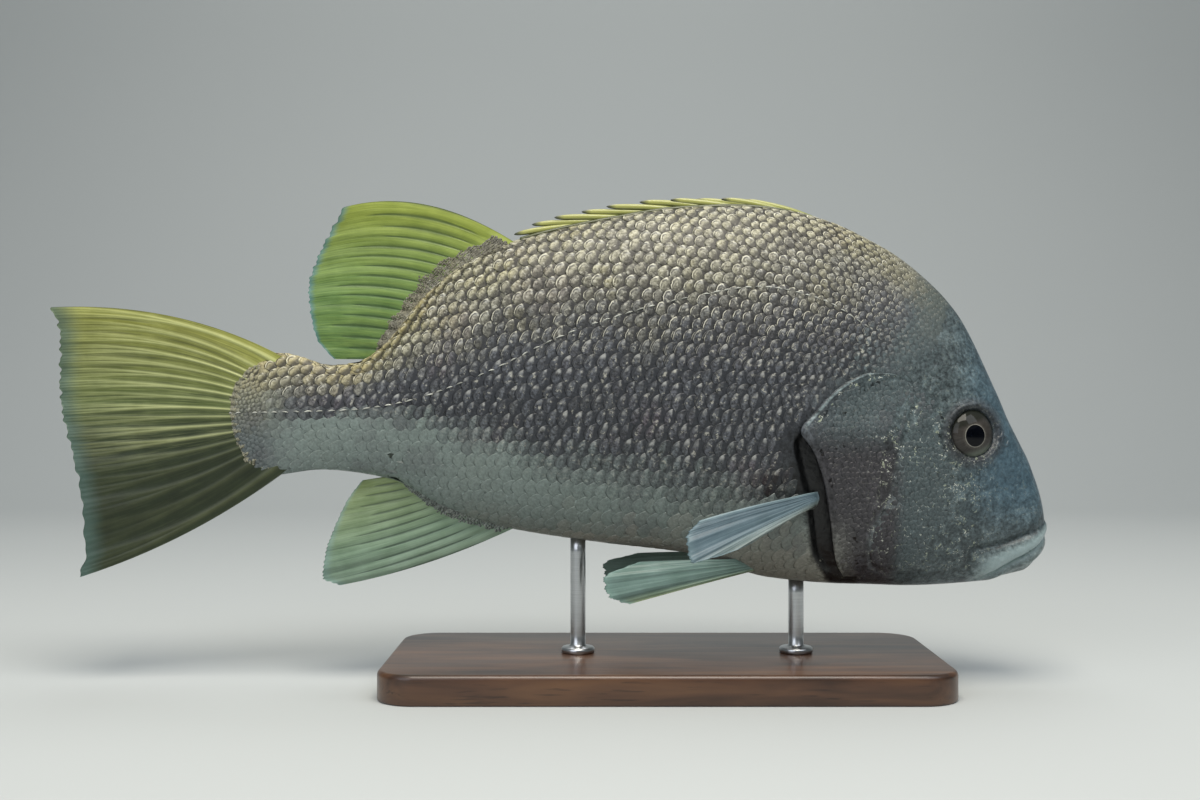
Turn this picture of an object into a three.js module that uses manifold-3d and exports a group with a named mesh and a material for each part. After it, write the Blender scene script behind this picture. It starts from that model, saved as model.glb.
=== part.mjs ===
// A life-size display model of a velvetchin, a deep-bodied sea fish with yellow soft fins, swimming level
// with its spiny dorsal fin folded down, on a small stand. Millimetres, +X to the snout, +Y to the fish's
// left, +Z up. The origin is under the middle of the model, on the surface that the stand rests on.
import * as THREE from "three";
import { mergeVertices } from "three/addons/utils/BufferGeometryUtils.js";
import Module from "manifold-3d";

const wasm = await Module();
wasm.setup();

// Driving dimensions.
const SNOUT_X = 208;
const SNOUT_Z = 64;
const SNOUT_ROUNDING = 10;
const TAIL_STEM_END_X = -135.5;
const TAIL_STEM_END_Z = 112;
const TAIL_STEM_ROUNDING = 15;
const GAP = 0.3;
const MODEL_MIDDLE_X = -1.09;
const RING_POINTS = 32;
const MEMBRANE_THICKNESS = 0.6;
const BASE_THICKNESS = 12;
const BASE_LENGTH = 230;
const BASE_WIDTH = 104;
const BASE_MIDDLE_X = 48;
const ROD_RADIUS = 3.2;
const ROD_FRONT_X = 104;
const ROD_REAR_X = 12;

// Places well outside the fish, for the cuts.
const FAR = 300;
const OVER_THE_BACK = 230;
const HALF_DEPTH = 60;

// Colours and finishes, as sRGB.
const DARK_SKIN = { color: 0x5b5f5c, roughness: 0.45, metalness: 0 };
const BODY_SKIN = { color: 0x77756a, roughness: 0.42, metalness: 0 };
const LIP_SKIN = { color: 0x8f9a9c, roughness: 0.4, metalness: 0 };
const GILL_SKIN = { color: 0x23242a, roughness: 0.5, metalness: 0 };
const YELLOW_FIN = { color: 0x8d9447, roughness: 0.4, metalness: 0 };
const PALE_FIN = { color: 0x93a095, roughness: 0.4, metalness: 0 };
const SPINE_FIN = { color: 0x9a9a4e, roughness: 0.4, metalness: 0 };
const EYE_GLASS = { color: 0x1b1a1c, roughness: 0.08, metalness: 0 };
const STAND_WOOD = { color: 0x4a3426, roughness: 0.5, metalness: 0 };
const STAND_STEEL = { color: 0xb8bab8, roughness: 0.3, metalness: 1 };

const clamp = (value, low, high) => Math.min(high, Math.max(low, value));
const smooth = (share) => {
  const s = clamp(share, 0, 1);
  return s * s * (3 - 2 * s);
};

/** A smooth curve through a few rising [position, value] points that never overshoots them. */
function curve(points) {
  const slopes = points.slice(1).map((p, i) => (p[1] - points[i][1]) / (p[0] - points[i][0]));
  const last = points.length - 1;
  const tangents = points.map((_, i) => {
    if (i === 0) return slopes[0];
    if (i === last) return slopes[last - 1];
    const before = slopes[i - 1];
    const after = slopes[i];
    return before * after <= 0 ? 0 : (2 * before * after) / (before + after);
  });
  return (x) => {
    const at = clamp(x, points[0][0], points[last][0]);
    const i = clamp(points.findIndex((p) => p[0] > at) - 1, 0, last - 1);
    const k = at >= points[last][0] ? last - 1 : i;
    const width = points[k + 1][0] - points[k][0];
    const t = (at - points[k][0]) / width;
    const t2 = t * t;
    const t3 = t2 * t;
    return (
      (2 * t3 - 3 * t2 + 1) * points[k][1] +
      (t3 - 2 * t2 + t) * width * tangents[k] +
      (3 * t2 - 2 * t3) * points[k + 1][1] +
      (t3 - t2) * width * tangents[k + 1]
    );
  };
}

// The body's shape: its back and belly in profile, half its width, how high the widest level lies in the
// depth, and how keeled (over 1) or full (under 1) the section is above and below that level.
const backLine = curve([
  [-136, 138], [-112, 138.5], [-92, 133.6], [-82, 134.5], [-71, 141], [-52, 163.5], [-35, 176.5],
  [-12, 187], [22, 195], [56, 200.2], [78, 201], [98, 199.3], [118, 194], [141, 182.6], [156, 171.5],
  [171, 155.6], [187, 123.5], [198, 98], [209, 84],
]);
const bellyLine = curve([
  [-136, 86], [-118, 86.2], [-96, 88.6], [-68, 85], [-46, 73.5], [-22, 65], [20, 58.2], [58, 53.6],
  [92, 43.6], [122, 41], [150, 40.6], [184, 42.6], [198, 45.5], [209, 48],
]);
const halfWidth = curve([
  [-136, 2.4], [-118, 4], [-95, 7], [-60, 12.5], [-20, 19.5], [20, 25.5], [60, 29.8], [100, 31.8],
  [130, 30.6], [155, 26.6], [175, 21.8], [192, 17.4], [209, 14],
]);
const widestLevel = curve([[-136, 0.5], [-60, 0.48], [60, 0.44], [130, 0.4], [175, 0.42], [209, 0.45]]);
const backKeel = curve([[-136, 1], [-70, 1.1], [20, 1.25], [110, 1.25], [170, 1.05], [209, 0.9]]);
const bellyKeel = curve([[-136, 1], [-60, 1.05], [20, 0.95], [110, 0.75], [170, 0.8], [209, 0.85]]);

/** How far the two ends have rounded off at x: 1 along the body, 0 at the snout's tip and the tail's end. */
function endRounding(x) {
  const nose = clamp((x - SNOUT_X + SNOUT_ROUNDING) / SNOUT_ROUNDING, 0, 1);
  const tail = clamp((TAIL_STEM_END_X + TAIL_STEM_ROUNDING - x) / TAIL_STEM_ROUNDING, 0, 1);
  return Math.sqrt(1 - nose * nose) * Math.sqrt(1 - tail * tail);
}

/** The section at x: its top, its bottom, its widest level and half its width, all grown by some mm. */
function sectionAt(x, grown = 0) {
  const rounding = endRounding(x);
  const middle = x > 0 ? SNOUT_Z : TAIL_STEM_END_Z;
  const top = middle + (backLine(x) - middle) * rounding;
  const bottom = middle + (bellyLine(x) - middle) * rounding;
  const width = halfWidth(x) * (x > 0 ? rounding : Math.sqrt(rounding));
  return {
    top: top + grown,
    bottom: bottom - grown,
    level: bottom + (top - bottom) * widestLevel(x),
    width: Math.max(0.2, width + grown),
  };
}

/** The point of the section at x that lies at an angle from the back, 0, over the left side, a quarter. */
function pointAt(x, angle, grown = 0, placedX = x) {
  const s = sectionAt(x, grown);
  const up = Math.cos(angle);
  const out = Math.sin(angle);
  const keel = up > 0 ? backKeel(x) : bellyKeel(x);
  const z = s.level + (up > 0 ? s.top - s.level : s.level - s.bottom) * up;
  const y = s.width * Math.sign(out) * Math.abs(out) ** keel;
  return new THREE.Vector3(placedX, y, z);
}

/** Half the body's width at x and height z, or 0 outside its profile. */
function sideAt(x, z) {
  const s = sectionAt(x);
  const reach = z > s.level ? s.top - s.level : s.level - s.bottom;
  const up = (z - s.level) / reach;
  if (Math.abs(up) >= 1 || x >= SNOUT_X) return 0;
  return s.width * Math.sqrt(1 - up * up) ** (up > 0 ? backKeel(x) : bellyKeel(x));
}

/** The outward normal of the body's left side at x and height z. */
function normalAt(x, z) {
  const step = 1;
  const alongX = (sideAt(x + step, z) - sideAt(x - step, z)) / (2 * step);
  const alongZ = (sideAt(x, z + step) - sideAt(x, z - step)) / (2 * step);
  return new THREE.Vector3(-alongX, 1, -alongZ).normalize();
}

/** A geometry as a solid: only its positions count, and shared corners are merged. */
function toSolid(geometry) {
  const bare = geometry.index ? geometry.toNonIndexed() : geometry.clone();
  const position = bare.getAttribute("position");
  const merged = mergeVertices(new THREE.BufferGeometry().setAttribute("position", position), 1e-4);
  const mesh = new wasm.Mesh({
    numProp: 3,
    vertProperties: merged.attributes.position.array,
    triVerts: new Uint32Array(merged.index.array),
  });
  return new wasm.Manifold(mesh);
}

/** A closed solid made of corners and triangles, turned right way out where they run the other way round. */
function closedSolid(corners, triangles) {
  const geometry = new THREE.BufferGeometry();
  const places = corners.flatMap((corner) => [corner.x, corner.y, corner.z]);
  geometry.setAttribute("position", new THREE.Float32BufferAttribute(places, 3));
  geometry.setIndex(triangles.flat());
  const solid = toSolid(geometry);
  if (solid.volume() > 0) return solid;
  geometry.setIndex(triangles.map((triangle) => triangle.slice().reverse()).flat());
  return toSolid(geometry);
}

/** A closed solid from rings of equal length that follow each other, with flat ends. */
function loft(rings) {
  const size = rings[0].length;
  const corners = rings.flat();
  const triangles = [];
  for (let r = 0; r + 1 < rings.length; r++) {
    for (let k = 0; k < size; k++) {
      const a = r * size + k;
      const b = r * size + ((k + 1) % size);
      triangles.push([a, b, b + size], [a, b + size, a + size]);
    }
  }
  const middleOf = (ring) => ring.reduce((sum, p) => sum.add(p), new THREE.Vector3()).divideScalar(size);
  const first = corners.push(middleOf(rings[0])) - 1;
  const final = corners.push(middleOf(rings[rings.length - 1])) - 1;
  const start = (rings.length - 1) * size;
  for (let k = 0; k < size; k++) {
    const next = (k + 1) % size;
    triangles.push([first, next, k], [final, start + k, start + next]);
  }
  return closedSolid(corners, triangles);
}

/** The largest closed surface of a solid. */
function largest(solid) {
  return solid.decompose().sort((a, b) => b.volume() - a.volume())[0];
}

/** A solid with an outline in side view, as [x, z], that reaches equally far to both sides. */
function prism(outline, reach = HALF_DEPTH) {
  const shape = new THREE.Shape(outline.map(([x, z]) => new THREE.Vector2(x, z)));
  const geometry = new THREE.ExtrudeGeometry(shape, { depth: 2 * reach, bevelEnabled: false });
  geometry.rotateX(Math.PI / 2);
  geometry.translate(0, reach, 0);
  return toSolid(geometry);
}

/** Points along a smooth line through a few [x, z] places. */
function smoothLine(places, pieces) {
  const line = new THREE.SplineCurve(places.map(([x, z]) => new THREE.Vector2(x, z)));
  return line.getPoints(pieces).map((p) => [p.x, p.y]);
}

/** An outline moved outwards all round by a distance. */
function grownOutline(outline, distance) {
  const turn = Math.sign(THREE.ShapeUtils.area(outline.map(([x, z]) => new THREE.Vector2(x, z))));
  return outline.map(([x, z], i) => {
    const [ax, az] = outline[(i + outline.length - 1) % outline.length];
    const [bx, bz] = outline[(i + 1) % outline.length];
    const length = Math.hypot(bx - ax, bz - az) * turn;
    return [x + (distance * (bz - az)) / length, z - (distance * (bx - ax)) / length];
  });
}

/** The whole body without its fins, grown all round by some mm, and swollen sideways where asked. */
function bodySolid(grown, swellAt = () => 0) {
  const stations = [];
  for (const degrees of [80, 60, 38, 18]) {
    stations.push(TAIL_STEM_END_X + TAIL_STEM_ROUNDING * (1 - Math.sin(THREE.MathUtils.degToRad(degrees))));
  }
  const trunkSteps = 22;
  const trunkStart = TAIL_STEM_END_X + TAIL_STEM_ROUNDING;
  const headStart = 120;
  for (let i = 0; i < trunkSteps; i++) {
    stations.push(THREE.MathUtils.lerp(trunkStart, headStart, i / trunkSteps));
  }
  const headSteps = 13;
  const noseStart = SNOUT_X - SNOUT_ROUNDING;
  for (let i = 0; i <= headSteps; i++) {
    stations.push(THREE.MathUtils.lerp(headStart, noseStart, i / headSteps));
  }
  for (const degrees of [18, 36, 54, 70, 82]) {
    stations.push(noseStart + SNOUT_ROUNDING * Math.sin(THREE.MathUtils.degToRad(degrees)));
  }
  const rings = stations.map((x) => {
    const along = (x - TAIL_STEM_END_X) / (SNOUT_X - TAIL_STEM_END_X);
    const placedX = x + grown * (2 * along - 1);
    return Array.from({ length: RING_POINTS }, (_, k) => {
      const point = pointAt(x, (-2 * Math.PI * k) / RING_POINTS, grown, placedX);
      point.y += Math.sign(point.y) * swellAt(x, point.z);
      return point;
    });
  });
  return loft(rings);
}

const body = bodySolid(0);
const bodyWithGap = bodySolid(GAP);

// Where the head, gills, trunk and tail stem part, in side view.
const NAPE_CUT = [[125, 230], [126, 180], [129, 152], [130, 136], [126, 122]];
const GILL_REAR = [
  [126, 122], [114, 113], [104, 107], [99.6, 101], [101.7, 90], [104.9, 78], [106.8, 66], [108.6, 56],
  [113, 49], [119, 36],
];
const GILL_FRONT = [[126, 122], [121, 108], [118, 92], [117.5, 76], [119, 60], [123, 48], [125, 36]];
const TAIL_CUT_X = -72;

const napeCut = smoothLine(NAPE_CUT, 6);
const gillRear = smoothLine(GILL_REAR, 18);
const gillFront = smoothLine(GILL_FRONT, 10);
const shifted = (line, distance) => line.map(([x, z]) => [x + distance, z]);
const half = GAP / 2;
const gillRearFoot = GILL_REAR[GILL_REAR.length - 1][0];
const gillFrontFoot = GILL_FRONT[GILL_FRONT.length - 1][0];
const headRegion = [
  ...shifted(napeCut, half), ...shifted(gillFront, half).slice(1), [gillFrontFoot + half, -FAR], [FAR, -FAR],
  [FAR, OVER_THE_BACK],
];
const trunkRegion = [
  ...shifted(napeCut, -half), ...shifted(gillRear, -half).slice(1), [gillRearFoot - half, -FAR],
  [TAIL_CUT_X + half, -FAR], [TAIL_CUT_X + half, OVER_THE_BACK],
];
const tailStemRegion = [
  [-FAR, -FAR], [TAIL_CUT_X - half, -FAR], [TAIL_CUT_X - half, OVER_THE_BACK], [-FAR, OVER_THE_BACK],
];
const membraneRegion = [
  ...shifted(gillRear, half), [gillRearFoot + half, -FAR], [gillFrontFoot - half, -FAR],
  ...shifted(gillFront, -half).slice(1).reverse(),
];

// The gill cover of each side: a raised plate from the cheek's rear edge to the gill opening, with a blunt
// point at the height of the eye's lower edge.
const OPENING_EDGE = [
  [138, 128.5], [131, 129], [121.5, 126.6], [109.5, 116.6], [102.2, 105.8], [107, 98], [111.3, 86],
  [114.3, 70], [117, 55], [121.5, 42],
];
const CHEEK_EDGE = [
  [131, 40], [130.5, 50], [128.6, 60], [130.5, 69], [136, 79], [140, 94], [144, 108], [144, 120],
];
const COVER_OUTER = 1.3;
const COVER_INNER = -0.9;
const MIDLINE_CLEARANCE = 1.2;
const coverOutline = [...smoothLine(OPENING_EDGE, 22), ...smoothLine(CHEEK_EDGE, 12)];
const coverPocket = prism(grownOutline(coverOutline, GAP)).subtract(bodySolid(COVER_INNER - GAP));
const sideHalf = (side) => {
  const box = new THREE.BoxGeometry(2 * FAR, FAR, 2 * FAR);
  box.translate(0, side * (FAR / 2 + MIDLINE_CLEARANCE), 0);
  return toSolid(box);
};
function gillCover(side) {
  const shell = bodySolid(COVER_OUTER).intersect(prism(coverOutline)).subtract(bodySolid(COVER_INNER));
  return largest(shell.intersect(sideHalf(side)));
}

// Mouth: both lips follow the snout round at the height of the mouth line, and thin towards its corners.
const MOUTH_CORNER_X = 176;
const mouthLine = curve([
  [165, 41], [176, 43.4], [182.4, 46], [190.8, 51.3], [197.9, 55.3], [205.4, 61.2], [209, 64.6],
]);
const upperLipHeight = curve([[170, 6], [180, 11], [187, 10.2], [195, 8.3], [202, 6.8], [209, 5.4]]);
const lowerLipHeight = curve([[170, 2], [184, 4.4], [192, 5.4], [198, 6.4], [209, 7.4]]);
const LIP_DEPTH = 2.9;
const LIP_STEPS = 22;
const LIP_SIDES = 10;

/** A lip as a flattened tube round the snout, its middle a share of its height from the mouth line. */
function lip(heightAt, direction, grown) {
  const rings = [];
  for (let i = 0; i <= LIP_STEPS; i++) {
    const turn = THREE.MathUtils.lerp(-Math.PI / 2, Math.PI / 2, i / LIP_STEPS);
    const heading = new THREE.Vector3(Math.cos(turn), Math.sin(turn), 0);
    const placeAt = (distance) => {
      const x = MOUTH_CORNER_X + heading.x * distance;
      const z = mouthLine(x) + direction * (heightAt(x) / 2 + half);
      return new THREE.Vector3(x, heading.y * distance, z);
    };
    let near = 0;
    let far = 60;
    for (let step = 0; step < 30; step++) {
      const middle = (near + far) / 2;
      const place = placeAt(middle);
      if (Math.abs(place.y) < sideAt(place.x, place.z)) near = middle;
      else far = middle;
    }
    const thinning = Math.sqrt(clamp((1 - Math.abs(turn) / (Math.PI / 2)) * 3, 0.12, 1));
    const centre = placeAt(near - LIP_DEPTH * 0.45);
    const up = heightAt(centre.x) / 2;
    const corner = 1 - 0.35 * (1 - thinning);
    const ring = Array.from({ length: LIP_SIDES }, (_, k) => {
      const angle = (2 * Math.PI * k) / LIP_SIDES;
      const outwards = Math.cos(angle) * (LIP_DEPTH * thinning + grown);
      const upwards = Math.sin(angle) * (up * corner + grown);
      return centre.clone().addScaledVector(heading, outwards).add(new THREE.Vector3(0, 0, upwards));
    });
    rings.push(ring);
  }
  return loft(rings);
}

const LOWER_JAW_REAR_X = 168;
const MOUTH_CUT_FRONT_X = 230;
const MOUTH_CUT_STEPS = 11;
const mouthCut = Array.from({ length: MOUTH_CUT_STEPS + 1 }, (_, i) => {
  const x = THREE.MathUtils.lerp(LOWER_JAW_REAR_X, MOUTH_CUT_FRONT_X, i / MOUTH_CUT_STEPS);
  return [x, mouthLine(x)];
});
const jawRegion = [
  ...mouthCut.map(([x, z]) => [x + half, z - half]), [MOUTH_CUT_FRONT_X, -FAR],
  [LOWER_JAW_REAR_X + half, -FAR],
];
const jawRoom = [
  ...mouthCut.map(([x, z]) => [x - half, z + half]), [MOUTH_CUT_FRONT_X + GAP, -FAR],
  [LOWER_JAW_REAR_X - half, -FAR],
];
const upperLip = lip(upperLipHeight, 1, 0);
const upperLipRoom = lip(upperLipHeight, 1, GAP);
const lowerJaw = body
  .intersect(prism(jawRegion))
  .add(lip(lowerLipHeight, -1, 0).intersect(prism(jawRegion)))
  .subtract(upperLipRoom);
const lowerJawRoom = prism(jawRoom).add(lip(lowerLipHeight, -1, GAP));

// Eyes: flattened balls set along the head's own normal, in sockets with a raised rim.
const EYE_X = 173.5;
const EYE_Z = 105;
const EYE_RADIUS = 10.4;
const EYE_DEPTH = 6.4;
const EYE_SUNK = 3.4;
const EYE_RIM_RADIUS = 12.2;
const EYE_RIM_HEIGHT = 0.9;
const NOSTRILS = [[187.4, 101.6, 1.3], [184.4, 105.2, 1.6]];

/** A ball set on the head's side, flattened along the surface's normal, and sunk below the surface. */
function setBall(side, x, z, radius, depth, sunk, around = 20) {
  const normal = normalAt(x, z);
  const ball = new THREE.SphereGeometry(1, around, around / 2);
  ball.rotateX(Math.PI / 2);
  ball.scale(radius, radius, depth);
  const turn = new THREE.Quaternion().setFromUnitVectors(new THREE.Vector3(0, 0, 1), normal);
  ball.applyQuaternion(turn);
  const centre = new THREE.Vector3(x, sideAt(x, z), z).addScaledVector(normal, -sunk);
  ball.translate(centre.x, centre.y, centre.z);
  const solid = toSolid(ball);
  return side > 0 ? solid : solid.mirror([0, 1, 0]);
}
const eye = (side) => setBall(side, EYE_X, EYE_Z, EYE_RADIUS, EYE_DEPTH, EYE_SUNK);
const eyeSocket = (side) => setBall(side, EYE_X, EYE_Z, EYE_RADIUS + GAP, EYE_DEPTH + GAP, EYE_SUNK);
const eyeRim = (side) => setBall(side, EYE_X, EYE_Z, EYE_RIM_RADIUS, 4, 4 - EYE_RIM_HEIGHT);

// Head: the cheek swells towards its rear edge, so that it stands over the front of the gill cover.
const CHEEK_SWELL = 2.1;
function cheekSwell(x, z) {
  return CHEEK_SWELL * smooth((162 - x) / 28) * smooth((124 - z) / 20) * smooth((z - 40) / 12);
}
let head = bodySolid(0, cheekSwell).intersect(prism(headRegion)).subtract(coverPocket);
for (const side of [1, -1]) {
  head = head.add(eyeRim(side)).subtract(eyeSocket(side));
  for (const [x, z, radius] of NOSTRILS) {
    head = head.subtract(setBall(side, x, z, radius, radius, 0, 8));
  }
}
head = head.subtract(lowerJawRoom).subtract(upperLipRoom);

const trunk = body.intersect(prism(trunkRegion)).subtract(coverPocket);
const tailStem = body.intersect(prism(tailStemRegion));
const MEMBRANE_RECESS = -1.4;
const gillMembrane = bodySolid(MEMBRANE_RECESS).intersect(prism(membraneRegion)).subtract(coverPocket);

const SPINE_STRENGTH = 1.7;

/**
 * A fin as a thin closed sheet with its rays as ridges. Across the fin every second column is a ray, and
 * along it the rays run from the root line to the tip line, both as functions of a share from 0 to 1. The
 * first few rays can be stout spines, and a scaly sheath thickens the foot of the fin.
 */
function fin(shape) {
  const { rootAt, tipAt, bulgeAt, sideways, rays, spines, steps } = shape;
  const { rayThickness, sheath, sheathShare, scallop } = shape;
  const columns = 2 * rays;
  const front = [];
  const back = [];
  for (let c = 0; c <= columns; c++) {
    const share = c / columns;
    const isRay = c % 2 === 1 || c === 0 || c === columns;
    const root = rootAt(share);
    const tip = tipAt(share);
    const along = tip.clone().sub(root);
    const reach = isRay ? 1 : 1 - scallop;
    for (let s = 0; s <= steps; s++) {
      const run = (s / steps) * reach;
      const place = root.clone().addScaledVector(along, run);
      place.add(bulgeAt(share).multiplyScalar(4 * run * (1 - run)));
      const outwards = sideways(share, run);
      place.add(outwards.offset);
      const strength = c < 2 * spines ? SPINE_STRENGTH : 1;
      const ridge = isRay ? strength * rayThickness * (1 - 0.75 * run) : 0;
      const cover = sheath * (1 - smooth(run / sheathShare));
      const thickness = MEMBRANE_THICKNESS + ridge + cover;
      front.push(place.clone().addScaledVector(outwards.normal, thickness / 2));
      back.push(place.clone().addScaledVector(outwards.normal, -thickness / 2));
    }
  }
  const rows = steps + 1;
  const offset = front.length;
  const triangles = [];
  const quad = (a, b, c, d) => triangles.push([a, b, c], [a, c, d]);
  for (let c = 0; c < columns; c++) {
    for (let s = 0; s < steps; s++) {
      const a = c * rows + s;
      triangles.push([a, a + rows, a + rows + 1], [a, a + rows + 1, a + 1]);
      triangles.push([offset + a, offset + a + rows + 1, offset + a + rows]);
      triangles.push([offset + a, offset + a + 1, offset + a + rows + 1]);
    }
    const root = c * rows;
    const tip = root + steps;
    quad(root, offset + root, offset + root + rows, root + rows);
    quad(tip + rows, offset + tip + rows, offset + tip, tip);
  }
  for (let s = 0; s < steps; s++) {
    quad(s + 1, offset + s + 1, offset + s, s);
    const a = columns * rows + s;
    quad(a, offset + a, offset + a + 1, a + 1);
  }
  return closedSolid([...front, ...back], triangles);
}

/** A line through a few [share, x, z] places as points in the fish's middle plane. */
function middleLine(places) {
  const xAt = curve(places.map(([share, x]) => [share, x]));
  const zAt = curve(places.map(([share, , z]) => [share, z]));
  return (share) => new THREE.Vector3(xAt(share), 0, zAt(share));
}

/** Sideways sway of an upright fin: the normal is across the fish, and the sheet leans out in a wave. */
function sway(amount, waves) {
  return (share, run) => ({
    offset: new THREE.Vector3(0, amount * run * run * Math.sin(waves * Math.PI * share + 0.6), 0),
    normal: new THREE.Vector3(0, 1, 0),
  });
}

const CAUDAL_RAYS = 17;
const caudalTop = new THREE.Vector3(3.2, 0, 6.2);
const caudalBottom = new THREE.Vector3(1.5, 0, -4.2);
const caudalFin = fin({
  rootAt: middleLine([[0, -108, 134], [0.12, -124, 130], [0.5, -130, 114], [0.88, -124, 96], [1, -108, 91]]),
  tipAt: middleLine([
    [0, -211.7, 157.8], [0.12, -208.4, 147], [0.35, -208.6, 127], [0.5, -207.2, 114], [0.65, -203, 100],
    [0.85, -196.4, 72], [0.95, -195, 52], [1, -197.3, 43.8],
  ]),
  rays: CAUDAL_RAYS,
  steps: 6,
  bulgeAt: (share) => caudalTop.clone().lerp(caudalBottom, share),
  sideways: sway(5, 1.1),
  rayThickness: 1.5,
  sheath: 2.2,
  sheathShare: 0.35,
  scallop: 0.012,
  spines: 0,
});

const DORSAL_RAYS = 15;
const softDorsalLead = new THREE.Vector3(-0.6, 0, 8.6);
const softDorsalFin = fin({
  rootAt: middleLine([[0, -13.5, 184], [0.3, -31, 172], [0.62, -50, 156], [1, -70.4, 135.5]]),
  tipAt: middleLine([
    [0, -87, 200], [0.12, -93, 189.5], [0.3, -98.6, 178], [0.5, -101.8, 166.4], [0.7, -100.6, 155.5],
    [0.88, -97.6, 144], [1, -90.5, 135.6],
  ]),
  rays: DORSAL_RAYS,
  steps: 7,
  bulgeAt: (share) => softDorsalLead.clone().multiplyScalar(1 - share),
  sideways: sway(2.5, 1.4),
  rayThickness: 1.3,
  sheath: 3.6,
  sheathShare: 0.16,
  scallop: 0.025,
  spines: 0,
});

const ANAL_RAYS = 11;
const analLead = new THREE.Vector3(0.4, 0, -2.6);
const analFin = fin({
  rootAt: middleLine([[0, -15, 64.5], [0.35, -35, 71.5], [0.7, -51, 79], [1, -64, 87]]),
  tipAt: middleLine([
    [0, -88, 40.4], [0.14, -95.4, 43.6], [0.35, -94.2, 54], [0.6, -90.6, 65], [0.82, -85, 77],
    [1, -79.4, 84.4],
  ]),
  rays: ANAL_RAYS,
  steps: 6,
  bulgeAt: (share) => analLead.clone().multiplyScalar(1 - share),
  sideways: sway(-2.5, 1.3),
  rayThickness: 1.3,
  sheath: 3.4,
  sheathShare: 0.18,
  scallop: 0.025,
  spines: 3,
});

// Paired fins, given on the left and mirrored: places as [share, x, y, z].
function spaceLine(places) {
  const axes = [1, 2, 3].map((axis) => curve(places.map((place) => [place[0], place[axis]])));
  return (share) => new THREE.Vector3(...axes.map((at) => at(share)));
}

function pairedFin(side, { root, tip, lift, ...shape }) {
  const rootAt = spaceLine(root);
  const tipAt = spaceLine(tip);
  const along = tipAt(0.5).sub(rootAt(0.5));
  const across = tipAt(1).sub(tipAt(0));
  const normal = across.cross(along).normalize();
  const solid = fin({
    ...shape,
    rootAt,
    tipAt,
    bulgeAt: () => normal.clone().multiplyScalar(lift),
    sideways: () => ({ offset: new THREE.Vector3(), normal }),
    scallop: 0.025,
  });
  return side > 0 ? solid : solid.mirror([0, 1, 0]);
}

const PECTORAL = {
  root: [[0, 108.5, 27, 83.5], [0.5, 109.2, 27, 79], [1, 108.5, 26, 74.5]],
  tip: [
    [0, 60, 47, 71.5], [0.3, 54.2, 52, 64.5], [0.55, 56.5, 55, 55.5], [0.8, 73, 50, 57], [1, 88, 42, 64],
  ],
  rays: 11,
  steps: 6,
  lift: 2.5,
  rayThickness: 1,
  sheath: 2.4,
  sheathShare: 0.3,
  spines: 0,
};
const PELVIC = {
  root: [[0, 92, 8, 49], [0.5, 87, 10.5, 50.5], [1, 82, 12, 52.5]],
  tip: [[0, 33, 23, 35.4], [0.3, 24.5, 25, 39], [0.6, 22.5, 24, 46], [1, 37, 17, 52]],
  rays: 6,
  steps: 7,
  lift: -1.5,
  rayThickness: 1.4,
  sheath: 1.8,
  sheathShare: 0.25,
  spines: 1,
};

// Spiny dorsal fin, folded back: stout overlapping spines that rise out of a scaly groove along the back.
const SPINE_TIPS = [
  [82, 2.4], [72.5, 2.6], [61.5, 2.9], [51, 3.4], [38, 4.4], [24, 5], [13.5, 4.9], [2, 4.9], [-7.5, 4.5],
];
const SPINE_LENGTH = 30;
const SPINE_HALF_HEIGHT = 1.15;
const SPINE_HALF_WIDTH = 1.35;
const SPINE_SIDES = 7;
const GROOVE_FRONT_X = 112;
const GROOVE_REAR_X = -12.4;
const GROOVE_HALF_WIDTH = 2.6;
const GROOVE_HEIGHT = 0.5;
const GROOVE_SIDES = 10;

/** The folded spine: a flattened blade from a sunk root to a short tip that stands clear of the back. */
function foldedSpine([tipX, rise], index) {
  const lean = index % 2 === 0 ? 0.5 : -0.5;
  const rings = [0, 0.25, 0.5, 0.75, 0.93, 1].map((run) => {
    const x = tipX + SPINE_LENGTH * (1 - run);
    const z = backLine(x) - 1.6 + (rise + 1.2) * run;
    const high = SPINE_HALF_HEIGHT * Math.sqrt(Math.max(1 - run ** 5, 0.01));
    const wide = SPINE_HALF_WIDTH * (1 - 0.85 * run ** 2.4);
    return Array.from({ length: SPINE_SIDES }, (_, k) => {
      const angle = (2 * Math.PI * k) / SPINE_SIDES;
      return new THREE.Vector3(x, lean * run + wide * Math.cos(angle), z + high * Math.sin(angle));
    });
  });
  return loft(rings);
}

/** The fleshy ridge that the spines fold into, which thins out towards its front. */
function groove() {
  const steps = 14;
  const rings = Array.from({ length: steps + 1 }, (_, i) => {
    const x = THREE.MathUtils.lerp(GROOVE_REAR_X, GROOVE_FRONT_X, i / steps);
    const taper = Math.sqrt(clamp((GROOVE_FRONT_X - x) / 20, 0.1, 1));
    return Array.from({ length: GROOVE_SIDES }, (_, k) => {
      const angle = (-2 * Math.PI * k) / GROOVE_SIDES;
      const y = GROOVE_HALF_WIDTH * taper * Math.cos(angle);
      const z = backLine(x) - 0.6 + (GROOVE_HEIGHT + 0.6) * taper * Math.sin(angle);
      return new THREE.Vector3(x, y, z);
    });
  });
  return loft(rings);
}

const spinyDorsalFin = SPINE_TIPS.map(foldedSpine).reduce((joined, spine) => joined.add(spine), groove());
const softDorsalOutline = [[-12.2, 150], [-12.2, 187.6], [-80, 226], [-120, 226], [-120, 150]];
const softDorsalRoom = prism(softDorsalOutline, 6);

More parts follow.
